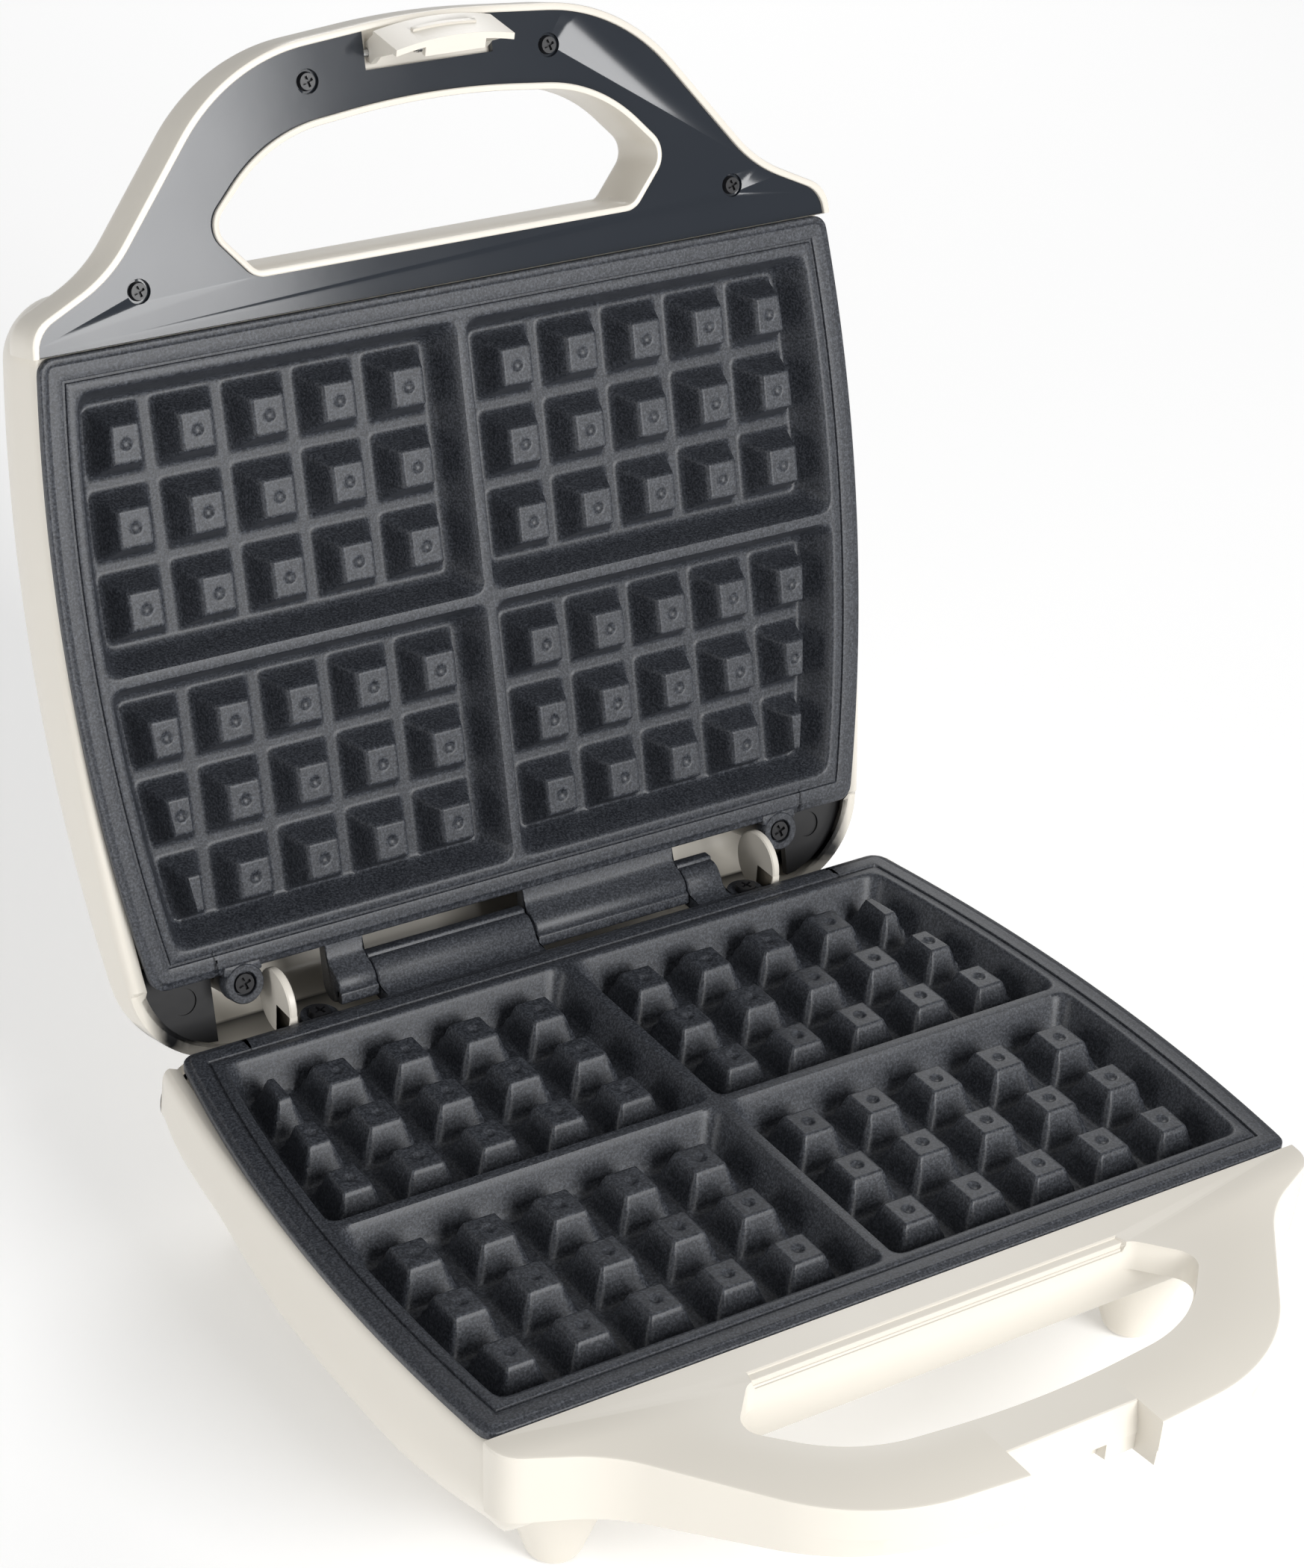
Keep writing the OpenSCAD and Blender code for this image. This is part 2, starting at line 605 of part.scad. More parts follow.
// Everything under the sloping front of the underside, raised by t
module under_front(t) {
    rotate([90, 0, 90]) translate([0, t * sqrt(2), -body_w]) linear_extrude(2 * body_w) polygon([
        [-body_front - 20, 20 - front_edge], [-body_front + 60, -60 - front_edge],
        [-body_front + 60, -120], [-body_front - 20, -120]]);
}

module foot(y) {
    translate([foot_x, y, -part_h + 0.5]) cylinder(r1 = 7.4, r2 = 7.4 + 0.33 * 33, h = 33);
}

module base_housing() {
    color("#e9e4d9") at_hinge() difference() {
        union() {
            difference() {
                union() {
                    difference() {
                        loft(tub_rings(0));
                        under_front(0);
                    }
                    both_sides() { foot(foot_front_y); foot(foot_rear_y); }
                }
                translate([0, 0, 0.02]) difference() {
                    loft(tub_rings(wall));
                    under_front(wall);
                }
                slab(-200, 200, -plate_back + 1, 60, -base_rear_top, 20);
            }
            difference() {
                base_handle();
                slab(-body_w, body_w, -body_front + wall, 0, -30, -rim_t - 6);
            }
            // Seat of the plate along the front, above the front wall
            difference() {
                slab(-118, 118, -body_front + 1, -plate_front - gap - 0.2, -base_face - 8, -base_face - 0.5);
                translate([0, 0, -40]) linear_extrude(60) polygon(grip_plan(0));
            }
            for (s = [-1, 1]) {
                post(s * base_ear_x, ear_y, 5.2, boss_floor, base_ear_top - 3.4);
                // Stop ribs beside the hinge, rounded about its axis
                translate([s * 83 - 1.2, 0, 0]) rotate([90, 0, 90]) linear_extrude(2.4) union() {
                    circle(r = stop_r);
                    polygon([[-stop_r, 0], [-stop_r, -40], [-1, -40], [-1, -9.5], [2, -9]]);
                }
            }
            for (x = [inlet_x - 9.5, inlet_x + 9.5]) post(x, -12, 3.6, boss_floor, clamp_z);
            translate([inlet_x, inlet_face, inlet_z]) rotate([90, 0, 0]) cylinder(r = 9.5, h = wall + 2);
        }
        translate([0, 0, -40]) linear_extrude(60) polygon(grip_plan(0));
        grip_steps();
        latch_notch();
        // The front wall is set back a little under the edge of the hand opening
        slab(-grip_w / 2 + 13, grip_w / 2 - 13, -body_front - 5, -body_front + 0.8, -40, -grip_edge);
        for (s = [-1, 1]) slab(s * tongue_x - 8 - fit, s * tongue_x + 8 + fit,
            -plate_front - 4 - fit, -plate_front + 1, -rim_t - 4 - fit, -rim_t - 1.6 + fit);
        bar_y(0, 40, inlet_x, inlet_z, inlet_d + 4);
        bar_y(-5, inlet_face - wall - 2, inlet_x, inlet_z, inlet_d + 8.4);
        for (s = [-1, 1]) bore(s * base_ear_x, ear_y, plate_screw[0], -20, 0);
        for (x = [inlet_x - 9.5, inlet_x + 9.5]) bore(x, -12, small_screw[0], boss_floor + 2, 0);
        for (y = [foot_front_y, foot_rear_y]) both_sides()
            bore(foot_x, y, 10 + fit, -part_h - 1, -part_h + 2);
        // Cooling slots
        for (y = [-150:12:-60]) for (s = [-1, 1]) slab(s * 45 - 16, s * 45 + 16, y, y + 3.4, -tub_depth - 1,
            -tub_depth + wall + 1);
    }
}

module foot_pad(sx, y) {
    color("#3a3a3c") at_hinge() translate([sx * foot_x, y, -part_h]) cylinder(d = 10, h = 2);
}

// ---------- lid ----------

lens_x = 9;
lens_y = -178;
lens_z = shoulder_z + (dome_h - shoulder_z) * dome_scale(lens_y);

// The lid handle, rounded over its outer edge
module lid_handle() {
    n = len(handle_plan(0));
    steps = concat([[0, -3], [0, lid_handle_t - 10]],
        [for (a = [18:18:90]) [9 * (1 - cos(a)), lid_handle_t - 10 + 10 * sin(a)]]);
    m = len(steps);
    pts = [for (k = steps) each [for (q = handle_plan(k[0])) [q[0], q[1], k[1]]]];
    sides = [for (j = [0:m - 2]) for (i = [0:n - 1]) let (k = (i + 1) % n)
        each [[j * n + i, (j + 1) * n + k, (j + 1) * n + i], [j * n + i, j * n + k, (j + 1) * n + k]]];
    ends = [[for (i = [n - 1:-1:0]) i], [for (i = [0:n - 1]) (m - 1) * n + i]];
    polyhedron(points = pts, faces = concat(sides, ends), convexity = 6);
}

module trim_pocket(d, back = 0) {
    difference() {
        union() {
            polygon(handle_plan(lip_w - d));
            translate([d + lip_w - shoulder_x, -plate_front - gap - 1]) square([2 * (shoulder_x - lip_w - d), 1 + back]);
        }
        polygon(grip_plan(grip_lip_w - d));
    }
}

module lid_screw_places() {
    for (s = [-1, 1]) {
        translate([s * (shoulder_x - 33), -plate_front - 13.3]) children();
        translate([s * (shoulder_x - 90.4), -handle_reach + 15]) children();
    }
}

// Height of the inside of the dome's roof
function dome_in(y) = shoulder_z + (dome_h - wall - shoulder_z) * dome_scale(y);

module latch_lugs() {
    for (s = [-1, 1]) translate([s * (latch_w / 2 - 3.2 - gap) - 1.5, latch_y, latch_z]) rotate([0, 90, 0])
        cylinder(r = 2.6, h = 3);
    for (s = [-1, 1]) slab(s * (latch_w / 2 - 3.2 - gap) - 1.5, s * (latch_w / 2 - 3.2 - gap) + 1.5,
        latch_y - 2.6, latch_y + 2.6, latch_z, 12);
}

module lid_housing() {
    color("#e9e4d9") at_lid() difference() {
        union() {
            difference() {
                union() {
                    loft(dome_rings(0));
                    lid_handle();
                }
                translate([0, 0, -0.02]) loft(dome_rings(wall));
                // The handle's lip is faced off
                slab(-200, 200, -300, -100, -10, lip_face);
                // Hollow of the handle behind the trim
                translate([0, 0, trim_face + trim_t]) linear_extrude(lid_handle_t - 6) difference() {
                    polygon(handle_plan(wall + 5));
                    polygon(grip_plan(wall));
                    translate([-body_w, -body_front - 0.1]) square([2 * body_w, 60]);
                }
                translate([0, 0, -1]) linear_extrude(1 + trim_face + trim_t + fit) trim_pocket(fit, 6);
                slab(-200, 200, -plate_back, 60, -1, lid_rear_lip);
            }
            for (s = [-1, 1]) {
                post(s * lid_ear_x, ear_y, 5.4, -lid_ear_top + 5, dome_in(ear_y) + wall / 2);
            }
            translate([0, 0, trim_face + trim_t + fit]) linear_extrude(14) lid_screw_places() circle(r = 4);
            // Seat of the plate along the front
            difference() {
                slab(-118, 118, -body_front + 1, -plate_front - gap - 0.2, trim_face + trim_t + fit, 12);
                for (s = [-1, 1]) slab(s * tongue_x - 8 - fit, s * tongue_x + 8 + fit,
                    -plate_front - 4 - fit, 0, rim_t + 1.6 - fit, rim_t + 4 + fit);
            }
            latch_lugs();
        }
        translate([0, 0, -10]) linear_extrude(80) polygon(grip_plan(0));
        for (s = [-1, 1]) bore(s * lid_ear_x, ear_y, plate_screw[0], 0, 20);
        translate([0, 0, 0]) linear_extrude(14) lid_screw_places() circle(d = small_screw[0]);
        // Room for the latch
        slab(-latch_w / 2 - gap, latch_w / 2 + gap, -handle_reach - 5, latch_y + 5.5, -5, latch_z - 3.4);
        for (s = [-1, 1]) slab(s * (latch_w / 2 - 0.9) - 1 - gap, s * (latch_w / 2 - 0.9) + 1 + gap,
            -handle_reach + 1.6, latch_y + 4, -5, latch_z + 4.5);
        slab(-latch_w / 2 + 5.6, latch_w / 2 - 5.6, latch_y - 4, latch_y + 4, -5, latch_z + 4);
        bar_x(-latch_w / 2 - 1.5, latch_w / 2 + 1.5, latch_y, latch_z, latch_pin_d + 0.02);
        for (s = [-1, 1]) bore(s * lens_x, lens_y, 7.2, 20, 60);
    }
}

// Black covers that close the lid's rear corners beside the ears
module corner_cover(s) {
    color("#101113") at_lid() difference() {
        intersection() {
            translate([0, 0, 9]) linear_extrude(2.4) polygon(body_plan(wall + 0.6, wall + 0.6));
            slab(min(s * 99, s * 130), max(s * 99, s * 130), -16, 12, 0, 30);
        }
        translate([s * 108, -4, 8]) cylinder(r = 4, h = 1.6);
    }
}

module lid_trim() {
    color("#15171b") at_lid() difference() {
        translate([0, 0, trim_face]) linear_extrude(trim_t) difference() {
            trim_pocket(0);
            // Straight edge against the plate
            translate([-body_w, -plate_front - gap]) square([2 * body_w, 60]);
            // Notch that the latch works in
            translate([-latch_w / 2 - 1.6, -handle_reach - 1]) square([latch_w + 3.2, 15.4]);
        }
        translate([0, 0, trim_face - 1]) linear_extrude(2.2) lid_screw_places() circle(d = 6.8);
        translate([0, 0, trim_face - 1]) linear_extrude(9) lid_screw_places() circle(d = small_screw[0] + 0.4);
    }
}

module trim_screws() {
    color("#17181a") at_lid() for (s = [-1, 1]) {
        translate([s * (shoulder_x - 33), -plate_front - 13.3, trim_face + 1.2]) rotate([180, 0, 0])
            screw(small_screw, 9);
        translate([s * (shoulder_x - 90.4), -handle_reach + 15, trim_face + 1.2]) rotate([180, 0, 0])
            screw(small_screw, 9);
    }
}

module lamp_board() {
    color("#2f6b3d") at_lid() slab(-22, 22, lens_y - 9, lens_y + 9, lens_z - 17, lens_z - 15.4);
}

module lamp(s) {
    color("#e8b38a") at_lid() translate([s * lens_x, lens_y, lens_z - 15.4]) {
        cylinder(d = 4.4, h = 6);
        translate([0, 0, 6]) sphere(d = 4.4, $fn = 24);
    }
}

module lens(s, c) {
    color(c) at_lid() translate([s * lens_x, lens_y, lens_z]) difference() {
        union() {
            translate([0, 0, -4]) cylinder(d = 7, h = 4.6);
            translate([0, 0, -4.4]) cylinder(d = 9, h = 1);
        }
        translate([0, 0, -5]) cylinder(d = 5, h = 3.4);
    }
}

// ---------- latch ----------

module at_latch() { at_lid() translate([0, latch_y, latch_z]) rotate([latch_lean, 0, 0]) children(); }

module latch() {
    bow_out = 2.1;
    r_out = (pow(latch_w / 2, 2) + pow(bow_out, 2)) / (2 * bow_out);
    front = -latch_face - 0.6;
    color("#ece7dc") at_latch() difference() {
        union() {
            // Bowed plate
            intersection() {
                translate([0, front + r_out, -latch_len]) difference() {
                    cylinder(r = r_out, h = latch_len - 2.45, $fn = 160);
                    translate([0, 0, -1]) cylinder(r = r_out - latch_t, h = latch_len + 2, $fn = 160);
                }
                slab(-latch_w / 2, latch_w / 2, front - 1, 0, -latch_len, 0);
            }
            // Side legs to the pivot
            for (s = [-1, 1]) translate([s * (latch_w / 2 - 0.9) - 0.9, 0, 0]) rotate([90, 0, 90])
                linear_extrude(1.8) polygon([[-6.2, -2.45], [-6.2, -13.5], [-5.2, -13.2], [-0.45, -4.9], [2.4, -2.6],
                    [2.4, 1.4], [1.4, 2.4], [-1.4, 2.4], [-2.4, 1.4]]);
            // Hook
            slab(-hook_w / 2, hook_w / 2, front + latch_t - 0.3, -4.25, -latch_len, -latch_len + hook_t);
            // Grip rib
            intersection() {
                translate([0, front + r_out - 0.7, -9.4]) cylinder(r = r_out, h = 1.6, $fn = 160);
                slab(-10, 10, front - 2, front + 4, -12, 0);
            }
        }
        bar_x(-latch_w / 2 - 1, latch_w / 2 + 1, 0, 0, latch_pin_d + 2 * run);
    }
}

module latch_pin() {
    color("#b9bcc0") at_lid() bar_x(-latch_w / 2 - 1.5, latch_w / 2 + 1.5, latch_y, latch_z, latch_pin_d);
}

module latch_spring() {
    wire = 0.7;
    color("#9da0a4") at_lid() translate([0, latch_y, latch_z]) rotate([0, 90, 0]) {
        for (i = [-4:4]) translate([0, 0, i * wire * 1.02]) rotate_extrude()
            translate([latch_pin_d / 2 + 0.2 + wire / 2, 0]) circle(d = wire, $fn = 16);
    }
}

base_housing();
foot_pad(-1, foot_front_y);  // foot_pad_front_left
foot_pad(1, foot_front_y);  // foot_pad_front_right
foot_pad(-1, foot_rear_y);  // foot_pad_rear_left
foot_pad(1, foot_rear_y);  // foot_pad_rear_right
lower_plate();
lower_plate_screws();
lower_element();
lower_reflector();
lower_reflector_screws();
thermal_fuse();
terminal_block();
lower_wires();
cord_gland();
cord_clamp();
cord_clamp_screws();
hinge_pin();
lid_housing();
corner_cover(-1);  // lid_corner_cover_left
corner_cover(1);  // lid_corner_cover_right
lid_trim();
trim_screws();
upper_plate();
upper_plate_screws();
upper_element();
upper_reflector();
upper_reflector_screws();
thermostat();
upper_wires();
lamp_board();
lamp(-1);  // power_lamp
lamp(1);  // ready_lamp
lens(-1, "#b3261e");  // power_lens
lens(1, "#2e8b3a");  // ready_lens
latch();
latch_pin();
latch_spring();
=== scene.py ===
import json

import bmesh
import bpy
import numpy as np
from mathutils import Matrix, Vector


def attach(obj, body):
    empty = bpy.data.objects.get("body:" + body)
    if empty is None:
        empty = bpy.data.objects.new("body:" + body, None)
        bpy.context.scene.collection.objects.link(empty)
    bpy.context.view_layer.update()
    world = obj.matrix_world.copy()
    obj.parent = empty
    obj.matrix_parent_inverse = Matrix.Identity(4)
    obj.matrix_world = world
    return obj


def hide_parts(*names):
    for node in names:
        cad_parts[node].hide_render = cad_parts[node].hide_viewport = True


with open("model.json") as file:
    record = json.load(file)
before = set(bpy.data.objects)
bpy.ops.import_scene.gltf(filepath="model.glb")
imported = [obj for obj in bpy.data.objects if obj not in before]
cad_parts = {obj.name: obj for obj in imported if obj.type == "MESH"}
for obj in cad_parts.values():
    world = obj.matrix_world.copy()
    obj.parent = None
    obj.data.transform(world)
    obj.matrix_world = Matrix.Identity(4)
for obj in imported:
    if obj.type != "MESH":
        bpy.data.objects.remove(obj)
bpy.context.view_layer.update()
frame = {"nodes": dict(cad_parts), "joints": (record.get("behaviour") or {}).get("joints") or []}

# ---------------------------------------------------------------------------------------------
# Base tub with its carrying handle
# One injection-moulded tray in glossy cream ABS: a bowed tub on four feet, and a looped handle
# level with its rim. Every other piece of the base drops into it or screws to its bosses.

hinge_y, hinge_z = [1000 * v for v in frame["joints"][0]["pos_m"][1:]]
lid_angle = np.radians(frame["joints"][0]["range_deg"][1])
body_w, body_front, body_back, wall = 263.38, -205.0, 14.0, 2.6
tub_depth, tub_rim, rear_top, front_edge = 50.0, 3.8, 19.8, 20.3
side_z, side_in, end_share = 20.0, 24.0, 0.35
handle_reach, handle_top, handle_bottom, grip_edge = -268.3, -1.5, -16.0, -10.4
plate_front, plate_back = -192.0, -11.5
foot_x, foot_ys, foot_h = 95.0, (-174.0, -16.0), 63.1
cream = (0.730, 0.690, 0.615)


def on_table(points):
    """Adds the hinge line's place to points measured from it and turns millimetres to metres."""
    return (np.asarray(points, float) + [0, hinge_y, hinge_z]) / 1000


def bowed(y, half, radius, middle):
    """Half width at y of a side that is an arc of the given radius, widest at y = middle."""
    return half - (radius - np.sqrt(radius**2 - (y - middle) ** 2))


def rounded_path(corners, steps):
    """Walks the corners (x, y, radius) and puts an arc of steps + 1 points at each inner one;
    the arc's centre lies on the bisector at radius / sin(half the corner's angle)."""
    c = np.array(corners, float)
    out = [c[:1, :2]]
    for a, b, d in zip(c[:-2], c[1:-1], c[2:]):
        u = (a - b)[:2] / np.hypot(*(a - b)[:2])
        v = (d - b)[:2] / np.hypot(*(d - b)[:2])
        if b[2] == 0:
            out.append(b[None, :2])
            continue
        half = np.arccos(np.clip(u @ v, -1, 1)) / 2
        middle = b[:2] + (u + v) / np.hypot(*(u + v)) * b[2] / np.sin(half)
        start = b[:2] + u * b[2] / np.tan(half) - middle
        end = b[:2] + v * b[2] / np.tan(half) - middle
        turn = np.arctan2(start[0] * end[1] - start[1] * end[0], start @ end)
        t = np.linspace(0, turn, steps + 1)[:, None]
        out.append(middle + start * np.cos(t) + np.stack([-start[1], start[0]]) * np.sin(t))
    return np.vstack(out + [c[-1:, :2]])


def resampled(path, count):
    """The same path with count points at equal steps of length along it."""
    s = np.r_[0, np.cumsum(np.hypot(*np.diff(path, axis=0).T))]
    t = np.linspace(0, s[-1], count)
    return np.stack([np.interp(t, s, path[:, 0]), np.interp(t, s, path[:, 1])], 1)


def sheet(grid, join_rows=False, join_columns=False):
    """Vertices and four-sided faces of a rows x columns grid of points; a joined direction
    closes on itself."""
    rows, columns = grid.shape[:2]
    i, j = np.meshgrid(
        np.arange(rows - (not join_rows)), np.arange(columns - (not join_columns)), indexing="ij"
    )
    i, j = i.ravel(), j.ravel()
    k, m = (i + 1) % rows, (j + 1) % columns
    quads = np.stack([i * columns + j, i * columns + m, k * columns + m, k * columns + j], 1)
    return grid.reshape(-1, 3), [tuple(q) for q in quads.tolist()]


def capped(grid, first=True, last=True):
    """A sheet whose columns close on themselves, with its first and last rows drawn to a point
    at their middles."""
    points, faces = sheet(grid, join_columns=True)
    columns = grid.shape[1]
    for wanted, row in ((first, 0), (last, grid.shape[0] - 1)):
        if wanted:
            tip = len(points)
            points = np.vstack([points, grid[row].mean(0)])
            faces += [(row * columns + a, row * columns + (a + 1) % columns, tip) for a in range(columns)]
    return points, faces


def moulding(name, sheets, place, body, stands_for=(), crease=32.0):
    points, faces, start = [], [], 0
    for p, f in sheets:
        points.append(place(p))
        faces += [tuple(k + start for k in q) for q in f]
        start += len(p)
    mesh = bpy.data.meshes.new(name)
    mesh.from_pydata(np.vstack(points).tolist(), [], faces)
    b = bmesh.new()
    b.from_mesh(mesh)
    bmesh.ops.remove_doubles(b, verts=b.verts, dist=2e-6)
    bmesh.ops.dissolve_degenerate(b, edges=b.edges, dist=1e-6)
    bmesh.ops.recalc_face_normals(b, faces=b.faces)
    b.to_mesh(mesh)
    b.free()
    mesh.shade_smooth()
    mesh.set_sharp_from_angle(angle=np.radians(crease))
    piece = bpy.data.objects.new(name, mesh)
    bpy.context.scene.collection.objects.link(piece)
    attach(piece, body)
    if stands_for:
        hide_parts(*stands_for)
    return piece


def body_ring(inset, end_inset, z, soft=0.0, rear_soft=0.0):
    """Plan of a housing at one height: bowed sides inset from the widest line, straight ends,
    arc corners. z may be a number or a function of y."""
    yf, yb = body_front + end_inset, body_back - end_inset
    rf = max(16 - inset / 3, 6) + soft
    rb = max(24 - inset / 3, 6) + rear_soft
    a = np.radians(np.linspace(-90, 0, 15))
    front = np.stack([-rf + rf * np.cos(a), yf + rf + rf * np.sin(a)], 1)
    lowest = min(-12.0, yb - rb - 0.5)
    side_y = np.r_[np.linspace(yf + rf, lowest, 44)[1:], min(-10.4, yb - rb)]
    side = np.stack([np.zeros_like(side_y), side_y], 1)
    a = np.radians(np.linspace(0, 90, 17))
    rear = np.stack([-rb + rb * np.cos(a), yb - rb + rb * np.sin(a)], 1)
    half = np.vstack([front, side, rear])
    half[:, 0] += bowed(half[:, 1], body_w / 2 - inset, 760.0, -110.0)
    ring = np.vstack([half, half[::-1] * [-1, 1]])
    height = z(ring[:, 1]) if callable(z) else np.full(len(ring), float(z))
    return np.column_stack([ring, height])


def tub_sheet():
    """Rings from the middle of the underside, up the outside, over the rim and down the inside.
    The side is a quarter ellipse, a straight stretch and an inward-curling shoulder. Its depth is
    scaled by a parabola of y, held between 0.8 and 1, and the front of the underside rises at 45
    degrees to the lower edge of the front wall. Behind the plate the rim drops to let the opened
    lid past."""
    rings = []
    corner = np.radians(np.linspace(90, 0, 15))
    shoulder = np.radians(np.linspace(0, 90, 7))
    for w, order in ((0.0, 1), (wall, -1)):
        drop = tub_depth - w - side_z
        path = [(side_in * (1 - np.cos(a)) + w, side_z + drop * np.sin(a)) for a in corner]
        path += [(w + 2.2 * (1 - np.cos(a)), 8.0 - (8.0 - tub_rim) * np.sin(a)) for a in shoulder]
        path = [(side_in + k + w, tub_depth - w) for k in (78.0, 50.0, 22.0)] + path
        for inset, depth in path[::order]:
            flat = inset > side_in + w + 1

            def height(y, depth=depth, flat=flat, w=w):
                """Height of this ring at y."""
                scale = np.clip(1.05 - 5.5e-5 * (y + 118) ** 2, 0.8, 1) if not flat else 1
                d = np.where(depth > 8, 8 + (depth - 8) * scale, depth) if not flat else depth
                d = np.minimum(d, front_edge + y - body_front - w * 2**0.5)
                return np.where(y > -11.2, np.minimum(-d, -rear_top), -d)

            back = 4 + np.clip(depth - rear_top, 0, 12)
            rings.append(body_ring(inset, w + (inset - w) * end_share, height, w * 3, back))
    return capped(np.array(rings))


def right_half(path):
    """The part of a path at x >= 0, starting exactly on the middle line."""
    k = np.argmax(path[:, 0] > 0)
    t = path[k - 1, 0] / (path[k - 1, 0] - path[k, 0])
    return np.vstack([path[k - 1] + (path[k] - path[k - 1]) * t, path[k:]])


def handle_half(d):
    """Right half of a handle's outline, from the middle of its front to the shoulder, moved in
    by d: a shallow front arc, a hollow flank and a rounded shoulder end."""
    x = body_w / 2 - 2.9
    corners = [
        (65.4 + d * 0.6 - x, handle_reach + 5.4 + d, 0),
        (0, handle_reach + d, 240 - d),
        (x - 65.4 - d * 0.6, handle_reach + 5.4 + d, 58 - d),
        (x - 24 - d * 0.7, plate_front - 19.6 + d * 0.8, 42),
        (x - 0.3 - d, plate_front - 8.3 + d * 0.6, 9),
        (x + 0.2 - d, plate_front - 0.4, 0),
    ]
    return right_half(rounded_path(corners, 24))


def grip_half(d):
    """Right half of the hand opening's outline, from the middle of its front edge round to the
    middle of its straight rear edge, grown by d."""
    corners = [
        (-52.2 - d * 0.6, handle_reach + 28.8 - d, 0),
        (0, handle_reach + 23.1 - d, 250 + d),
        (52.2 + d * 0.6, handle_reach + 28.8 - d, 44 + d),
        (72.6 + d * 1.2, body_front - 13.6 - d * 0.1, 6 + d),
        (60.6 + d * 0.4, body_front - 0.2 + d, 5 + d),
        (0, body_front - 0.2 + d, 0),
    ]
    return right_half(rounded_path(corners, 20))


across = np.unique(np.r_[np.linspace(0, 50, 26), 9.4, 9.5, 11.0, 11.02, 18.8, 19.0, 20.38, 20.42])


def round_the_loop(half_path, corner):
    """Points round a loop that pair off with those of the other loop of a handle: by x over the
    front, by length along the flank to the corner, and evenly along the rear edge."""
    turn = np.argmax(corner(half_path))
    front = np.stack([across, np.interp(across, half_path[: turn + 1, 0], half_path[: turn + 1, 1])], 1)
    start = np.searchsorted(half_path[: turn + 1, 0], 50.0)
    flank = resampled(np.vstack([front[-1:], half_path[start : turn + 1]]), 64)[1:]
    if turn < len(half_path) - 1:
        rear = resampled(half_path[turn:], 60)[1:]
    else:
        rear = np.stack([np.linspace(half_path[turn, 0], 0, 60)[1:], np.full(59, half_path[turn, 1])], 1)
    right = np.vstack([front, flank, rear])
    return np.vstack([right, right[-2:0:-1] * [-1, 1]])


def outer_loop(d):
    """The handle's outline moved in by d, as paired points."""
    return round_the_loop(handle_half(d), lambda p: np.arange(len(p)))


def grip_loop(d):
    """The hand opening's outline grown by d, as paired points."""
    return round_the_loop(grip_half(d), lambda p: p[:, 0] + p[:, 1])


def lifted(loop, z):
    """A plan loop set at height z, a number or one value for each point."""
    return np.column_stack([loop, np.broadcast_to(z, len(loop))])


def base_handle_sheet():
    """Cross-sections run round the loop: the top face between two rounded edges, a drafted outer
    wall, a hollow underside and the inner wall. Two small steps lie along the rear edge of the
    opening, and a ramp and a lip for the latch are let into the middle of the front."""
    top = handle_top

    def low(loop, up=0.0):
        """Height of the underside, which falls towards the hinge, raised by up."""
        return handle_bottom + up - 0.107 * np.clip(loop[:, 1] - handle_reach - 6, 0, None)

    rows = [lifted(outer_loop(d), low(outer_loop(d), up)) for d, up in ((1.3, 0), (0.9, 4.9))]
    wall_rows = [(0.62, -11.1), (0.6, -10.9), (0.35, -2.8), (0.3, top - 0.75)]
    for d, z in wall_rows + [(0.5, top - 0.25), (0.95, top)]:
        rows.append(lifted(outer_loop(d), z))
    for k, y in enumerate((-257.7, -257.7, -257.7, -258.0, -256.8, -256.7, -256.6, -256.2)):
        inside = (np.abs(rows[k][:, 0]) < 20.41) & (rows[k][:, 1] < -230)
        rows[k][inside, 1] = y
        if k < 3:
            hook = inside & (np.abs(rows[k][:, 0]) < 11.01)
            rows[k][hook, 1] = -254.5
    edge = grip_loop(0)
    back = (np.abs(edge[:, 0]) < 58.6) & (edge[:, 1] > body_front - 1)
    steps = [(3.9, top, 0.8), (3.5, top - 0.3, 0.3), (3.3, top - 1.3, 0.0), (1.8, top - 1.35, 0.0)]
    steps += [(1.6, top - 2.7, 0.0), (0.2, top - 2.8, 0.0), (0.0, top - 3.4, 0.0)]
    for out, z, grow in steps:
        loop = grip_loop(grow)
        loop[back, 1] = body_front - 0.2 + out
        rows.append(lifted(loop, np.where(back, z, np.maximum(z, top - 0.9 * (out < 3.4)))))
    rows.append(lifted(grip_loop(0.0), grip_edge))
    rows.append(lifted(grip_loop(wall), grip_edge))
    rows.append(lifted(grip_loop(wall), top - wall))
    hollow = outer_loop(wall)
    hollow[(np.abs(hollow[:, 0]) < 23) & (hollow[:, 1] < -230), 1] = -251
    rows.append(lifted(hollow, top - wall))
    rows.append(lifted(hollow, low(hollow)))
    return sheet(np.array(rows), join_rows=True, join_columns=True)


def turned(profile, centre, steps=40, axis="z"):
    """A profile of (radius, height) spun about a line through centre; the ends that lie on the
    line close to a point."""
    a = np.linspace(0, 2 * np.pi, steps, endpoint=False)
    p = np.array(profile, float)
    r, h = p[:, :1], np.repeat(p[:, 1:], steps, 1)
    ring = [r * np.cos(a), r * np.sin(a), h]
    grid = np.stack([ring[k] for k in {"z": (0, 1, 2), "y": (0, 2, 1), "x": (2, 0, 1)}[axis]], -1)
    return capped(grid + np.array(centre, float))


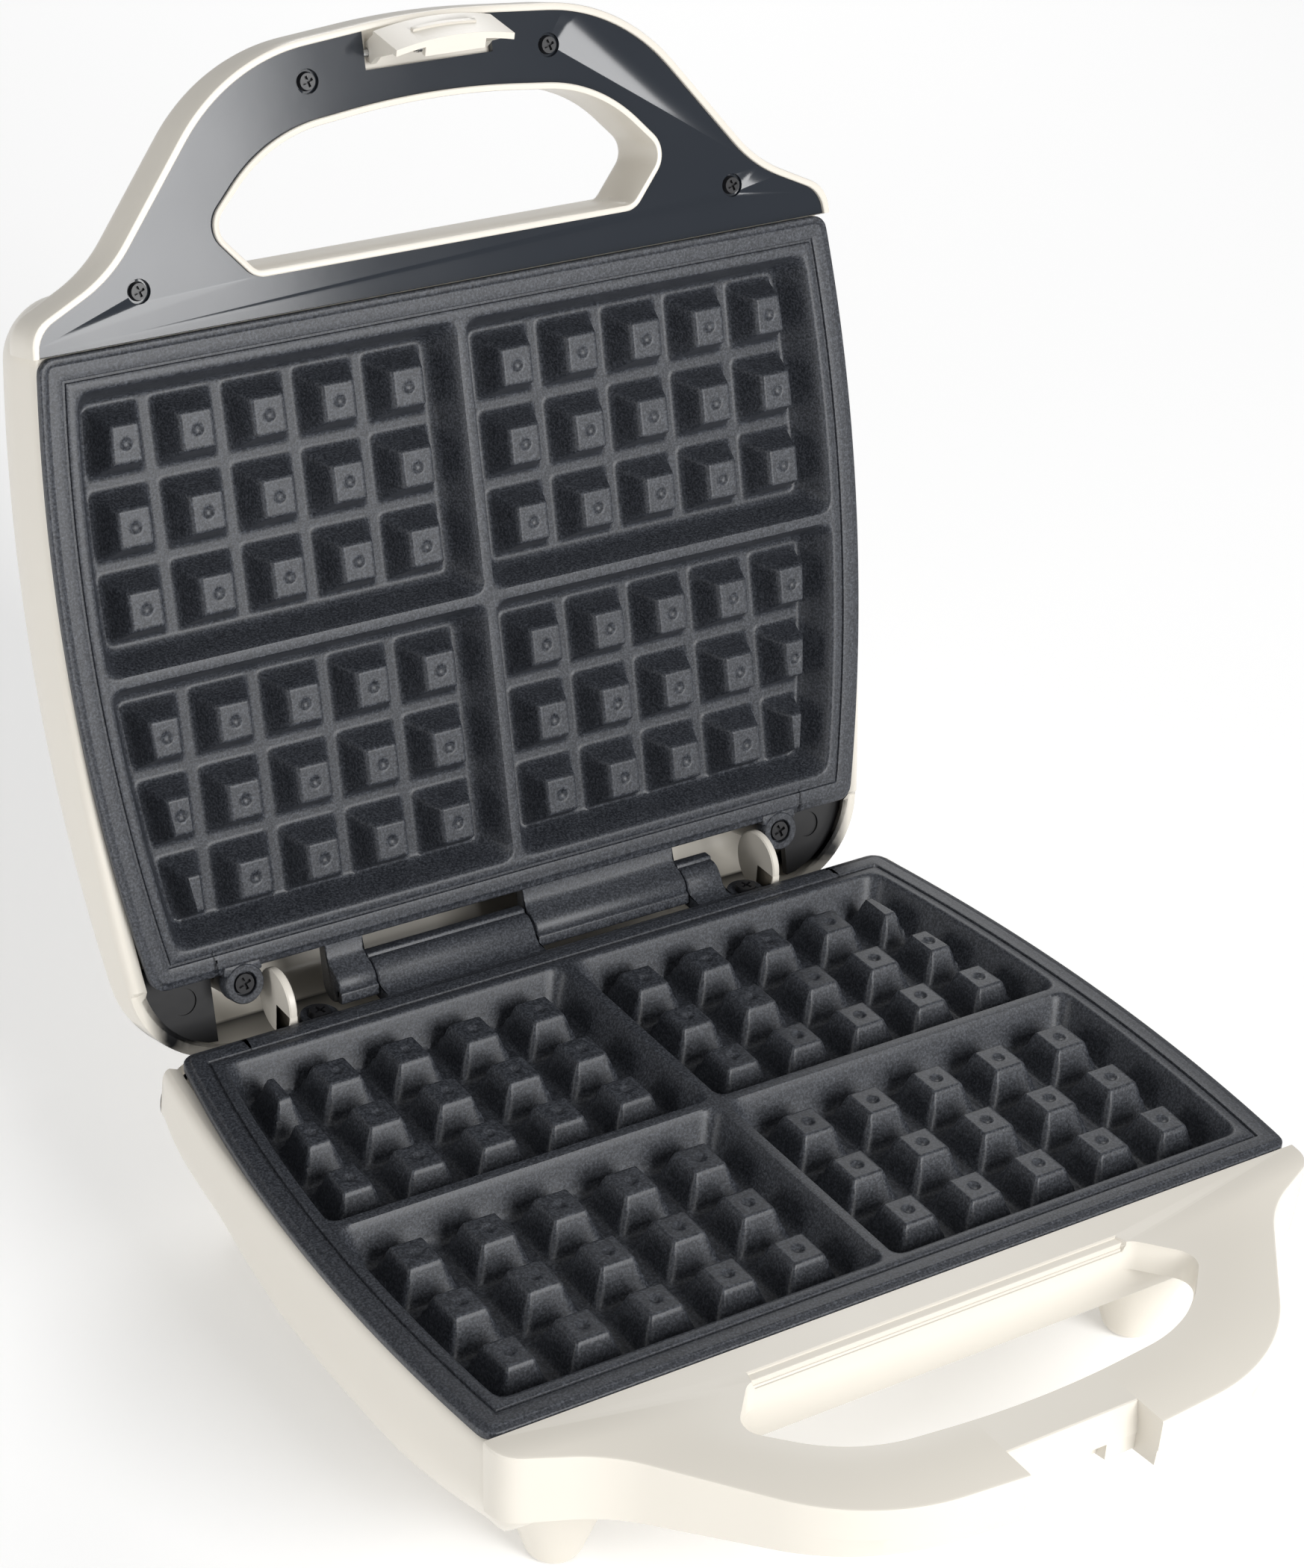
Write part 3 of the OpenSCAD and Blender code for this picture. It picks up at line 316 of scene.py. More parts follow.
def block(low, high, edge=0.4):
    """A box with its edges rounded by two steps: rings of a rounded rectangle, narrower at the
    first and last heights."""
    low, high = np.array(low, float), np.array(high, float)
    rings = []
    eased = [(edge, 0), (edge * 0.3, edge * 0.3), (0, edge)]
    heights = [(d, low[2] + up) for d, up in eased] + [(d, high[2] - up) for d, up in eased[::-1]]
    for inset, z in heights:
        a, b = low[:2] + inset, high[:2] - inset
        seam = ((a[0] + b[0]) / 2, a[1], 0)
        corners = [(b[0], a[1], edge), (b[0], b[1], edge), (a[0], b[1], edge), (a[0], a[1], edge)]
        plan = rounded_path([seam] + corners + [seam], 3)[:-1]
        rings.append(lifted(plan, z))
    return capped(np.array(rings))


def stop_rib(x):
    """A thin upright rib: a disc about the hinge line with a block under its rear half."""
    disc = [(0, -1.2), (9.4, -1.2), (9.8, -0.8), (9.8, 0.8), (9.4, 1.2), (0, 1.2)]
    return [turned(disc, (x, 0, 0), 60, "x"), block((x - 1.2, -9.8, -40), (x + 1.2, -1, 0), 0.3)]


base_sheets = [tub_sheet(), base_handle_sheet()]
base_sheets.append(block((-118, -204, -9.5), (118, -192.6, -2.2), 0.5))
for s in (-1, 1):
    base_sheets += stop_rib(83 * s)
    boss = [(0, -48), (5.2, -48), (5.2, -7.2), (4.8, -6.8), (0, -6.8)]
    base_sheets.append(turned(boss, (73.5 * s, -7.4, 0)))
    for y in foot_ys:
        foot = [(0, -foot_h), (5.9, -foot_h), (6.8, -foot_h + 0.3), (7.4, -foot_h + 1.1)]
        foot += [(7.9, -foot_h + 2.2), (13.2, -45.5), (17.9, -31.2), (0, -31)]
        base_sheets.append(turned(foot, (foot_x * s, y, 0), 56))
collar = [(6.1, 9.0), (9.3, 9.0), (9.5, 14.6), (9.2, 15.0), (6.1, 15.0)]
base_sheets.append(turned([(0, 9.0)] + collar + [(0, 14.0)], (40, 0, -31), 40, "y"))
base = moulding("base_tub", base_sheets, on_table, "base", ["base_housing"])


def moulded_plastic(name, colour, roughness, waviness, marks=0.0):
    """Injection-moulded plastic: one colour with a very faint mottle, a slow waviness of the
    surface, and an uneven gloss from handling."""
    m = bpy.data.materials.new(name)
    m.use_nodes = True
    n, link = m.node_tree.nodes, m.node_tree.links.new
    s = n["Principled BSDF"]
    where = n.new("ShaderNodeTexCoord").outputs["Object"]
    mottle = n.new("ShaderNodeTexNoise")
    mottle.inputs["Scale"].default_value = 38
    mottle.inputs["Detail"].default_value = 4
    link(where, mottle.inputs["Vector"])
    tone = n.new("ShaderNodeMix")
    tone.data_type = "RGBA"
    tone.inputs["A"].default_value = (*[c * 0.985 for c in colour], 1)
    tone.inputs["B"].default_value = (*[min(c * 1.015, 1) for c in colour], 1)
    link(mottle.outputs["Fac"], tone.inputs["Factor"])
    link(tone.outputs["Result"], s.inputs["Base Color"])
    gloss = n.new("ShaderNodeMapRange")
    gloss.inputs["To Min"].default_value = roughness * (1 - 0.18 - marks)
    gloss.inputs["To Max"].default_value = roughness * (1 + 0.18 + marks)
    link(mottle.outputs["Fac"], gloss.inputs["Value"])
    link(gloss.outputs["Result"], s.inputs["Roughness"])
    wave = n.new("ShaderNodeTexNoise")
    wave.inputs["Scale"].default_value = 260
    wave.inputs["Detail"].default_value = 2
    link(where, wave.inputs["Vector"])
    bump = n.new("ShaderNodeBump")
    bump.inputs["Strength"].default_value = waviness
    bump.inputs["Distance"].default_value = 0.0002
    link(wave.outputs["Fac"], bump.inputs["Height"])
    link(bump.outputs["Normal"], s.inputs["Normal"])
    s.inputs["Specular IOR Level"].default_value = 0.5
    return m


cream_abs = moulded_plastic("cream_abs", cream, 0.30, 0.06)
base.data.materials.append(cream_abs)

# ---------------------------------------------------------------------------------------------
# Foot pads
# Four soft black rubber plugs pressed into the hollow tips of the feet. They carry the whole
# weight and stop the machine creeping on the worktop.


def finished(node, material):
    """Gives a piece kept from the drawing its material in every slot."""
    part = frame["nodes"][node]
    part.data.materials.clear()
    part.data.materials.append(material)
    for p in part.data.polygons:
        p.material_index = 0


def rubber(name, colour):
    """Matt rubber: dark, with a fine moulded grain."""
    return moulded_plastic(name, colour, 0.75, 0.35, 0.05)


foot_rubber = rubber("foot_rubber", (0.035, 0.035, 0.036))
for corner in ("front_left", "front_right", "rear_left", "rear_right"):
    finished("foot_pad_" + corner, foot_rubber)

# ---------------------------------------------------------------------------------------------
# Lower cooking plate
# A pressure-cast aluminium plate with four pockets of small pyramids, covered in a charcoal
# non-stick coating with fine bright flecks. Ears and knuckles are cast in one with it.

plate_w, crest, tip, floor_z = 262.4, -0.4, -1.9, -11.9
rim_w, slope_w, divider = 10.4, 4.5, 1.7
cell_x, cell_y, first_x, first_y = 22.0, 23.0, 17.8, 36.7
middle_y = -(first_y + 2 * cell_y + 36.75 / 2)
row_ys = -np.array(
    [first_y + k * cell_y for k in range(3)] + [first_y + 2 * cell_y + 36.75 + k * cell_y for k in range(3)]
)
half_top = np.array([4.8, 5.3])
half_foot = np.array([8.6, 9.3])


def soft_min(a, b, k):
    """The lesser of a and b, blended by a parabola where they are within k of each other."""
    h = np.clip(k - np.abs(a - b), 0, None) / k
    return np.minimum(a, b) - h * h * k / 4


def soft_max(a, b, k):
    """The greater of a and b, blended the same way."""
    return -soft_min(-a, -b, k)


def cell_lines(top, foot):
    """Places of the grid lines across one pyramid, from its middle: close together over the
    dimple, at the edge of the flat top and at the foot."""
    half = [0, 0.6, 1.15, 1.5, 1.8, 2.5, top - 0.9, top - 0.35, top + 0.1, top + 0.6]
    half += [(top + foot) / 2, foot - 0.7, foot, foot + 0.7, foot + 1.5]
    return np.array([-v for v in half[:0:-1]] + half)


rim_lines = np.array(
    [0, 0.25, 0.7, 1.6, 2.0, 2.2, 2.6, 4.2, 5.8, 6.2, 6.45, 7.1, 7.35, 7.7, 8.2]
    + [9.2, 10.0, 10.4, 10.9, 11.8, 13.2, 14.4, 15.2]
)
wall_lines = np.array([0, 0.9, 1.5, 2.0, 2.7, 3.8, 5.2, 6.1, 7.0])


def plate_lines():
    """Two lists of grid lines with, for each, its kind and number: from the middle divider
    outwards across the pyramids to the rim, and from the front rim over both blocks of rows to
    the rear rim."""
    xs = [(v, None, 99.0, 99.0) for v in wall_lines[:-1]]
    lines = cell_lines(half_top[0], half_foot[0])
    for k in range(5):
        xs += [(first_x + k * cell_x + o, k, o, 99.0) for o in lines]
    xs += [(None, None, 99.0, d) for d in rim_lines[::-1]]
    ys = [(plate_front + d, None, 99.0, d) for d in rim_lines]
    lines = cell_lines(half_top[1], half_foot[1])
    for k in (5, 4, 3):
        ys += [(row_ys[k] + o, k, o, 99.0) for o in lines]
    ys += [(middle_y + v, None, 99.0, 99.0) for v in np.r_[-wall_lines[-2:0:-1], wall_lines[:-1]]]
    for k in (2, 1, 0):
        ys += [(row_ys[k] + o, k, o, 99.0) for o in lines]
    ys += [(plate_back - d, None, 99.0, d) for d in rim_lines[::-1]]
    return xs, ys


def rim_section(d):
    """Height of the rim at distance d from its edge: a low outer step, a flat band, a groove and
    a rounded bead round the pockets."""
    inwards = [0, 0.25, 0.7, 1.6, 2.2, 5.8, 6.2, 6.45, 7.1, 7.35, 7.9, 9.1, 10.4, 30]
    rim_heights = [-0.95, -0.62, -0.5, -0.5, 0, 0, -0.12, -0.75, -0.75, -0.15, 0.05, 0.12, 0, 0]
    z = np.interp(d, inwards, rim_heights)
    return crest + z


def cooking_face():
    """A height field on lines that follow the casting's edges. Inside a pocket the height is the
    greater of the sloping walls, 1 - distance / slope width, and the pyramids, the lesser of two
    ramps held between foot and flat top, less a spherical dimple; all blended by soft_max and
    soft_min. The outer pyramids and walls follow the bowed side."""
    xs, ys = plate_lines()
    dx = np.array([q[3] for q in xs])[:, None]
    dy = np.array([q[3] for q in ys])[None, :]
    ox = np.array([q[2] for q in xs])[:, None]
    oy = np.array([q[2] for q in ys])[None, :]
    outer = np.array([q[1] == 4 for q in xs])[:, None]
    y = np.broadcast_to([q[0] for q in ys], (len(xs), len(ys))).copy()
    x = np.broadcast_to([[np.nan if q[0] is None else q[0]] for q in xs], y.shape).copy()
    # rounded outline corners, radius 4, on the rim lines near both edges
    d, e = np.minimum(dx, dy), np.maximum(dx, dy)
    arc = np.clip(4.0 - d, 0, None)
    bent = (e - d < arc) & (d < 4.0)
    phi = np.radians(45) * (1 - (e - d) / np.where(arc > 0, arc, 1))
    far, near = 4.0 - arc * np.sin(phi), 4.0 - arc * np.cos(phi)
    in_x = np.where(bent, np.where(dx >= dy, far, near), dx)
    in_y = np.where(bent, np.where(dx >= dy, near, far), dy)
    front = np.broadcast_to(np.array([q[3] < 90 and q[0] < middle_y for q in ys])[None, :], y.shape)
    rear = np.broadcast_to(np.array([q[3] < 90 and q[0] > middle_y for q in ys])[None, :], y.shape)
    y = np.where(front, plate_front + in_y, np.where(rear, plate_back - in_y, y))
    side = bowed(y, plate_w / 2, 560.0, -125.0)
    x = np.where(dx < 90, side - in_x, x)
    # outermost pyramid: its outer half is drawn in to the bow
    inner_edge = first_x + 4 * cell_x - half_top[0]
    top_edge = np.minimum(first_x + 4 * cell_x + half_top[0], side - 20.4)
    foot_edge = np.minimum(first_x + 4 * cell_x + half_foot[0], side - 17.0)
    o = np.broadcast_to(ox, y.shape)
    on_top = inner_edge + (o + half_top[0]) / (2 * half_top[0]) * (top_edge - inner_edge)
    slope = top_edge + (o - half_top[0]) / (half_foot[0] - half_top[0]) * (foot_edge - top_edge)
    beyond = foot_edge + (o - half_foot[0]) * np.minimum(1, (side - 15.4 - foot_edge) / 1.6)
    drawn = np.where(o <= half_top[0], on_top, np.where(o <= half_foot[0], slope, beyond))
    x = np.where(outer & (o > -half_top[0]), drawn, x)
    centre_x = np.where(outer, (inner_edge + top_edge) / 2, x - o)
    # walls
    to_divider = x - divider
    to_side = side - x - rim_w
    wx = 1 - np.minimum(to_divider, to_side) / slope_w
    to_ends = np.minimum(y - plate_front, plate_back - y) - rim_w
    wy = 1 - np.minimum(np.abs(y - middle_y) - divider, to_ends) / slope_w
    walls = soft_min(soft_max(soft_max(wx, wy, 0.95), 0 * wx, 0.22), 1 + 0 * wx, 0.10)
    # pyramids
    px = (half_foot[0] - np.abs(ox)) / (half_foot[0] - half_top[0])
    py = (half_foot[1] - np.abs(oy)) / (half_foot[1] - half_top[1])
    tops = soft_min(soft_max(soft_min(px, py, 0.16), 0 * px * py, 0.20), 1 + 0 * px * py, 0.07)
    tops = np.where((np.abs(ox) < 50) & (np.abs(oy) < 50), tops, 0)
    row = np.array([-1 if q[1] is None else q[1] for q in ys])[None, :]
    centre_y = np.where(row >= 0, y - oy, 0)
    away = np.hypot(x - centre_x, y - centre_y)
    bowl = 0.85 * np.clip(1 - (away / 1.7) ** 2, 0, 1) ** 0.75
    bowl = np.where((np.abs(ox) < 3) & (np.abs(oy) < 3) & ~(outer & (row == 0)), bowl, 0)
    z = np.maximum(floor_z + walls * (crest - floor_z), floor_z + tops * (tip - floor_z) - bowl)
    z = np.where(d < rim_w, rim_section(d), z)
    half = np.stack([x, y, z], -1)
    return np.concatenate([half[:0:-1] * [-1, 1, 1], half])


def edge_of(grid):
    """The points round the border of a grid, in order."""
    return np.vstack([grid[:-1, 0], grid[-1, :-1], grid[:0:-1, -1], grid[0, :0:-1]])


def casting_sheets(ear_x, ear_low, ear_high, sink):
    """The cooking face, the drop of its edge and the pan of its underside, with knuckles, ears
    and reflector studs."""
    face = cooking_face()
    border = edge_of(face)
    middle = np.array([0, (plate_front + plate_back) / 2, 0])
    rows = [border]
    skirt = [(0.0, -1.8), (0.0, -3.1), (0.35, -3.5), (0.9, -3.6), (6.8, -3.6), (6.8, -14.0), (8.0, -15.1)]
    for drawn_in, z in skirt:
        r = middle + (border - middle) * [1 - drawn_in / 131, 1 - drawn_in / 90, 1]
        r[:, 2] = z
        rows.append(r)
    out = [sheet(face), capped(np.array(rows), first=False)]
    for x0, x1 in ((-53.2, -0.4), (53.6, 65.8)):
        out += knuckle(x0, x1)
    for s in (-1, 1):
        cup = [(0, ear_low), (5.7, ear_low), (6.0, ear_low + 0.3), (6.0, ear_high - 0.5), (5.6, ear_high)]
        cup += [(3.8, ear_high), (3.6, ear_high - 0.2), (3.6, ear_high - sink), (0, ear_high - sink)]
        out.append(turned(cup, (s * ear_x, -7.4, 0), 40))
        high = min(ear_high, -0.5)
        out.append(block((s * ear_x - 6, -13.5, ear_low), (s * ear_x + 6, -10.5, high), 0.5))
        for y in (-52, -150):
            stud = [(0, -24.0), (3.8, -24.0), (4.0, -23.8), (4.4, -14.5), (0, -14.5)]
            out.append(turned(stud, (s * 96, y, 0), 24))
    return out


def knuckle(x0, x1):
    """A barrel round the hinge pin with an arm to the plate's rear edge, and the thin drip lip
    along its far side: two closed sections carried along x, drawn in a little at each end."""
    a = np.radians(np.linspace(128, -90, 40))
    barrel = np.stack([5.2 * np.cos(a), 5.2 * np.sin(a)], 1)
    arm = np.array([[-4, -5.2], [-12.2, -5.2], [-12.4, -1.2], [-8.5, -1.3], [-6.3, 0.2], [-4.6, 2.7]])
    lip = [(0.6, 4.4, 0), (1.4, 3.4, 0.4), (4.7, 3.4, 0.5), (4.7, 5.8, 0.6), (1.4, 6.0, 0.6), (0.6, 4.4, 0)]
    lip = rounded_path(lip, 4)[:-1]
    out = []
    for section in (np.vstack([barrel, arm]), lip):
        m = section.mean(0)
        rows = []
        ends = [(x0, 0.93), (x0 + 0.15, 0.97), (x0 + 0.5, 1.0)]
        for x, s in ends + [(x1 - 0.5, 1.0), (x1 - 0.15, 0.97), (x1, 0.93)]:
            p = m + (section - m) * s
            rows.append(np.column_stack([np.full(len(p), x), p]))
        out.append(capped(np.array(rows)))
    return out


def nonstick(name):
    """Sprayed non-stick coating: near-black, semi-matt and finely grained, with tiny lighter
    flecks where the metallic pigment shows."""
    m = bpy.data.materials.new(name)
    m.use_nodes = True
    n, link = m.node_tree.nodes, m.node_tree.links.new
    s = n["Principled BSDF"]
    where = n.new("ShaderNodeTexCoord").outputs["Object"]
    grain = n.new("ShaderNodeTexNoise")
    grain.inputs["Scale"].default_value = 1500
    grain.inputs["Detail"].default_value = 3
    grain.inputs["Roughness"].default_value = 0.7
    link(where, grain.inputs["Vector"])
    flecks = n.new("ShaderNodeValToRGB")
    flecks.color_ramp.elements[0].position = 0.42
    flecks.color_ramp.elements[0].color = (0.016, 0.018, 0.023, 1)
    flecks.color_ramp.elements[1].position = 0.72
    flecks.color_ramp.elements[1].color = (0.085, 0.092, 0.108, 1)
    link(grain.outputs["Fac"], flecks.inputs["Fac"])
    link(flecks.outputs["Color"], s.inputs["Base Color"])
    gloss = n.new("ShaderNodeMapRange")
    gloss.inputs["To Min"].default_value = 0.34
    gloss.inputs["To Max"].default_value = 0.52
    link(grain.outputs["Fac"], gloss.inputs["Value"])
    link(gloss.outputs["Result"], s.inputs["Roughness"])
    bump = n.new("ShaderNodeBump")
    bump.inputs["Strength"].default_value = 0.45
    bump.inputs["Distance"].default_value = 0.00012
    link(grain.outputs["Fac"], bump.inputs["Height"])
    link(bump.outputs["Normal"], s.inputs["Normal"])
    return m


charcoal_coating = nonstick("charcoal_coating")
lower_sheets = casting_sheets(73.5, -6.8, -3.4, 0.1)
lower = moulding("lower_grid", lower_sheets, on_table, "base", ["lower_plate"], 42)
lower.data.materials.append(charcoal_coating)

# ---------------------------------------------------------------------------------------------
# Hinge pin and dark screws
# A drawn steel rod through the knuckles, and cross-head screws with a black finish that hold
# the plates and the lid trim.


def metal(name, colour, roughness, streaks):
    """Bare or plated metal: a tight noise drawn out along x varies the roughness like tool
    marks."""
    m = bpy.data.materials.new(name)
    m.use_nodes = True
    n, link = m.node_tree.nodes, m.node_tree.links.new
    s = n["Principled BSDF"]
    s.inputs["Metallic"].default_value = 1
    where = n.new("ShaderNodeTexCoord").outputs["Object"]
    drawn = n.new("ShaderNodeMapping")
    drawn.inputs["Scale"].default_value = (30, 900, 900)
    link(where, drawn.inputs["Vector"])
    noise = n.new("ShaderNodeTexNoise")
    noise.inputs["Scale"].default_value = 1.5
    noise.inputs["Detail"].default_value = 4
    link(drawn.outputs["Vector"], noise.inputs["Vector"])
    tone = n.new("ShaderNodeMix")
    tone.data_type = "RGBA"
    tone.inputs["A"].default_value = (*[c * 0.9 for c in colour], 1)
    tone.inputs["B"].default_value = (*[min(c * 1.08, 1) for c in colour], 1)
    link(noise.outputs["Fac"], tone.inputs["Factor"])
    link(tone.outputs["Result"], s.inputs["Base Color"])
    gloss = n.new("ShaderNodeMapRange")
    gloss.inputs["To Min"].default_value = max(roughness - streaks, 0.05)
    gloss.inputs["To Max"].default_value = roughness + streaks
    link(noise.outputs["Fac"], gloss.inputs["Value"])
    link(gloss.outputs["Result"], s.inputs["Roughness"])
    return m


bright_steel = metal("bright_steel", (0.62, 0.63, 0.64), 0.28, 0.10)
black_screw = moulded_plastic("black_screw", (0.016, 0.016, 0.018), 0.32, 0.1)
finished("hinge_pin", bright_steel)
for part in ("lower_plate_screws", "upper_plate_screws", "trim_screws"):
    finished(part, black_screw)

# ---------------------------------------------------------------------------------------------
# Heating parts inside both halves
# Hairpin tube elements against the backs of the plates, pressed aluminium reflectors hung on
# studs, a thermal fuse below and a disc thermostat above, with sleeved leads.

scaled_sheath = metal("scaled_sheath", (0.30, 0.27, 0.24), 0.48, 0.16)
rolled_aluminium = metal("rolled_aluminium", (0.78, 0.79, 0.80), 0.30, 0.12)
zinc_plate = metal("zinc_plate", (0.60, 0.61, 0.62), 0.36, 0.10)
glass_sleeve = moulded_plastic("glass_sleeve", (0.72, 0.70, 0.63), 0.82, 0.8)
pale_moulding = moulded_plastic("pale_moulding", (0.68, 0.65, 0.55), 0.45, 0.2)
for half in ("lower", "upper"):
    finished(half + "_element", scaled_sheath)
    finished(half + "_reflector", rolled_aluminium)
    finished(half + "_reflector_screws", zinc_plate)
    finished(half + "_wires", glass_sleeve)
finished("thermal_fuse", glass_sleeve)
finished("thermostat", pale_moulding)

# ---------------------------------------------------------------------------------------------
# Mains inlet
# A black rubber gland in the rear wall, a clamp bar with two screws that grips the lead behind
# it, and a three-way terminal block on the floor of the tub.

finished("cord_gland", rubber("gland_rubber", (0.016, 0.016, 0.017)))
finished("cord_clamp", pale_moulding)
finished("cord_clamp_screws", zinc_plate)
finished("terminal_block", pale_moulding)

# ---------------------------------------------------------------------------------------------
# Lid housing
# The upper half of the case: a deep dome in cream plastic whose cream fades to near-black inside
# the rim, most of all in the rear corners; that black is painted shade for the deep shadow inside. Its handle
# is thick and rounded over at the back.

dome_h, rear_lip = 49.98, 6.0
lip_face, lip_w, grip_lip = 0.6, 2.0, 1.8


def on_lid(points):
    """Tips points drawn with the lid shut back about the hinge line, then sets them on the
    table."""
    p = np.asarray(points, float)
    c, s = np.cos(lid_angle), np.sin(lid_angle)
    y, z = p[:, 1], p[:, 2]
    return on_table(np.column_stack([p[:, 0], y * c + z * s, z * c - y * s]))


def dome_sheet():
    """Rings from the middle of the top, down the outside, under the rim and up the inside. The
    side is a quarter ellipse whose height falls off as a parabola away from the fullest place,
    so that the lid is lower towards the hinge."""
    rings = []
    corner = np.radians(np.linspace(90, 0, 17))
    shoulder = np.radians(np.linspace(0, 90, 7))
    for w, order in ((0.0, 1), (wall, -1)):
        path = [(side_in * (1 - np.cos(a)) + w, side_z + (dome_h - w - side_z) * np.sin(a)) for a in corner]
        path += [(w + 2.0 * (1 - np.cos(a)), 8.0 - 4.2 * np.sin(a)) for a in shoulder]
        path = [(path[0][0] + 6 * k, path[0][1]) for k in (15, 13, 11, 9, 7, 5, 3, 1.5)] + path
        for inset, height in path[::order]:
            fall = lambda y: 1 - 0.3 * ((y + 140) / 125) ** 2
            high = lambda y, h=height: np.maximum(
                np.where(h > 8, 8 + (h - 8) * fall(y), h), np.where(y > -11.2, rear_lip, 0)
            )
            if inset < 30:
                share = w + (inset - w) * end_share
            else:
                share = w + side_in * end_share + (inset - side_in - w) * 0.85
            rings.append(body_ring(inset, share, high, soft=w * 3))
    return capped(np.array(rings))


def lid_handle_sheet():
    """Cross-sections run round the loop: the narrow lips beside the trim, its recess, the outer
    wall and its quarter-ellipse turn to the back, and the wall of the hand opening."""
    rows = []
    section = [("g", 0.0, 12.0), ("g", 0.0, 1.1), ("g", 0.15, 0.75), ("g", 0.5, lip_face)]
    section += [("g", 1.5, lip_face), ("g", grip_lip, 0.85), ("g", grip_lip, 4.2)]
    section += [("o", lip_w, 4.2), ("o", lip_w, 0.85), ("o", 1.75, lip_face), ("o", 0.7, lip_face)]
    section += [("o", 0.2, 0.8), ("o", 0.0, 1.3), ("o", 0.0, 7.0), ("o", 0.0, 14.0)]
    for a in np.radians(np.linspace(9, 90, 10)):
        section.append(("o", 9 * (1 - np.cos(a)), 14 + 10 * np.sin(a)))
    section += [("g", 3.0, 24.0), ("g", 1.5, 23.7), ("g", 0.4, 22.6), ("g", 0.0, 21.0)]
    for kind, d, z in section:
        rows.append(lifted(grip_loop(d) if kind == "g" else outer_loop(d), z))
    return sheet(np.array(rows), join_rows=True, join_columns=True)


lid_sheets = [dome_sheet(), lid_handle_sheet()]
for s in (-1, 1):
    lid_sheets.append(turned([(0, 5.2), (4.9, 5.2), (5.4, 5.7), (5.4, 34.0), (0, 34.0)], (s * 92.2, -7.4, 0)))
lid_sheets.append(block((-118, -203.6, 4.4), (118, -192.8, 12), 0.5))
lid = moulding("lid_dome", lid_sheets, on_lid, "lid", ["lid_housing"])


def painted_shade_share(mesh):
    """How much of the cream each point keeps, the rest being painted shade: all of it outside, and
    inside the rim a share that falls from 1 at the lip to 0 some 12 mm in."""
    n = len(mesh.vertices)
    p = np.empty(n * 3)
    mesh.vertices.foreach_get("co", p)
    p = p.reshape(-1, 3) * 1000 - [0, hinge_y, hinge_z]
    c, s = np.cos(lid_angle), np.sin(lid_angle)
    x, y, z = p[:, 0], p[:, 1] * c - p[:, 2] * s, p[:, 1] * s + p[:, 2] * c
    edge = bowed(np.clip(y, -205, 14), body_w / 2, 760.0, -110.0)
    deep = np.minimum(edge - np.abs(x), np.minimum(body_back - y, y - body_front))
    inside = (deep > 2.2) & (z < 8 + 26 * (1 - 0.3 * ((y + 140) / 125) ** 2)) & (y > -188)
    share = np.where(inside, np.clip(1.15 - (deep - 2.2) / 4.5 - np.clip(z - 4, 0, 30) / 22, 0, 1), 1.0)
    mesh.attributes.new("unshaded_share", "FLOAT", "POINT").data.foreach_set("value", share.astype(np.float32))


def shaded_cream(name):
    """Cream plastic that gives way to near-black painted shade inside the lid, mixed by a point attribute of
    the mesh.
    """
    m = moulded_plastic(name, cream, 0.30, 0.06)
    n, link = m.node_tree.nodes, m.node_tree.links.new
    s = n["Principled BSDF"]
    unshaded_share = n.new("ShaderNodeAttribute")
    unshaded_share.attribute_name = "unshaded_share"
    painted_shade_mix = n.new("ShaderNodeMix")
    painted_shade_mix.data_type = "RGBA"
    # near-black painted shade, the colour the cream gives way to where shadow falls inside the lid
    painted_shade_mix.inputs["A"].default_value = (0.006, 0.006, 0.007, 1)
    link(unshaded_share.outputs["Fac"], painted_shade_mix.inputs["Factor"])
    link(s.inputs["Base Color"].links[0].from_socket, painted_shade_mix.inputs["B"])
    link(painted_shade_mix.outputs["Result"], s.inputs["Base Color"])
    return m


# paints shade inside the lid: a point share that takes the cream down to black away from the rim
painted_shade_share(lid.data)
lid.data.materials.append(shaded_cream("cream_with_painted_shade"))

# ---------------------------------------------------------------------------------------------
# Lid corner covers
# Two small mouldings that close the rear corners of the lid behind its outer screws; their near-black is
# painted shade for the deep shadow in those corners.

# near-black painted shade for the shadowed rear corners of the lid
black_plastic = moulded_plastic("black_plastic", (0.008, 0.008, 0.009), 0.42, 0.15)
finished("lid_corner_cover_left", black_plastic)
finished("lid_corner_cover_right", black_plastic)

# ---------------------------------------------------------------------------------------------
# Lid trim
# A flat slate-black plate let into the face of the lid's handle, polished, and held by four
# screws in round recesses. A notch in its front edge leaves room for the latch.


def trimmed(node, name, body, edge):
    """A welded copy of a drawn part whose edges are rounded by a narrow bevel."""
    mesh = frame["nodes"][node].data.copy()
    mesh.name = name
    b = bmesh.new()
    b.from_mesh(mesh)
    bmesh.ops.remove_doubles(b, verts=b.verts, dist=2e-6)
    bmesh.ops.dissolve_limit(b, angle_limit=np.radians(1.0), verts=b.verts, edges=b.edges)
    b.to_mesh(mesh)
    b.free()
    mesh.materials.clear()
    piece = bpy.data.objects.new(name, mesh)
    bpy.context.scene.collection.objects.link(piece)
    bevel = piece.modifiers.new("edge", "BEVEL")
    bevel.width = edge / 1000
    bevel.segments = 2
    bevel.limit_method = "ANGLE"
    bevel.angle_limit = np.radians(35)
    mesh.shade_smooth()
    mesh.set_sharp_from_angle(angle=np.radians(35))
    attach(piece, body)
    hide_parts(node)
    return piece


trim = trimmed("lid_trim", "handle_trim", "lid", 0.25)
trim.data.materials.append(moulded_plastic("polished_slate", (0.016, 0.020, 0.027), 0.13, 0.02))

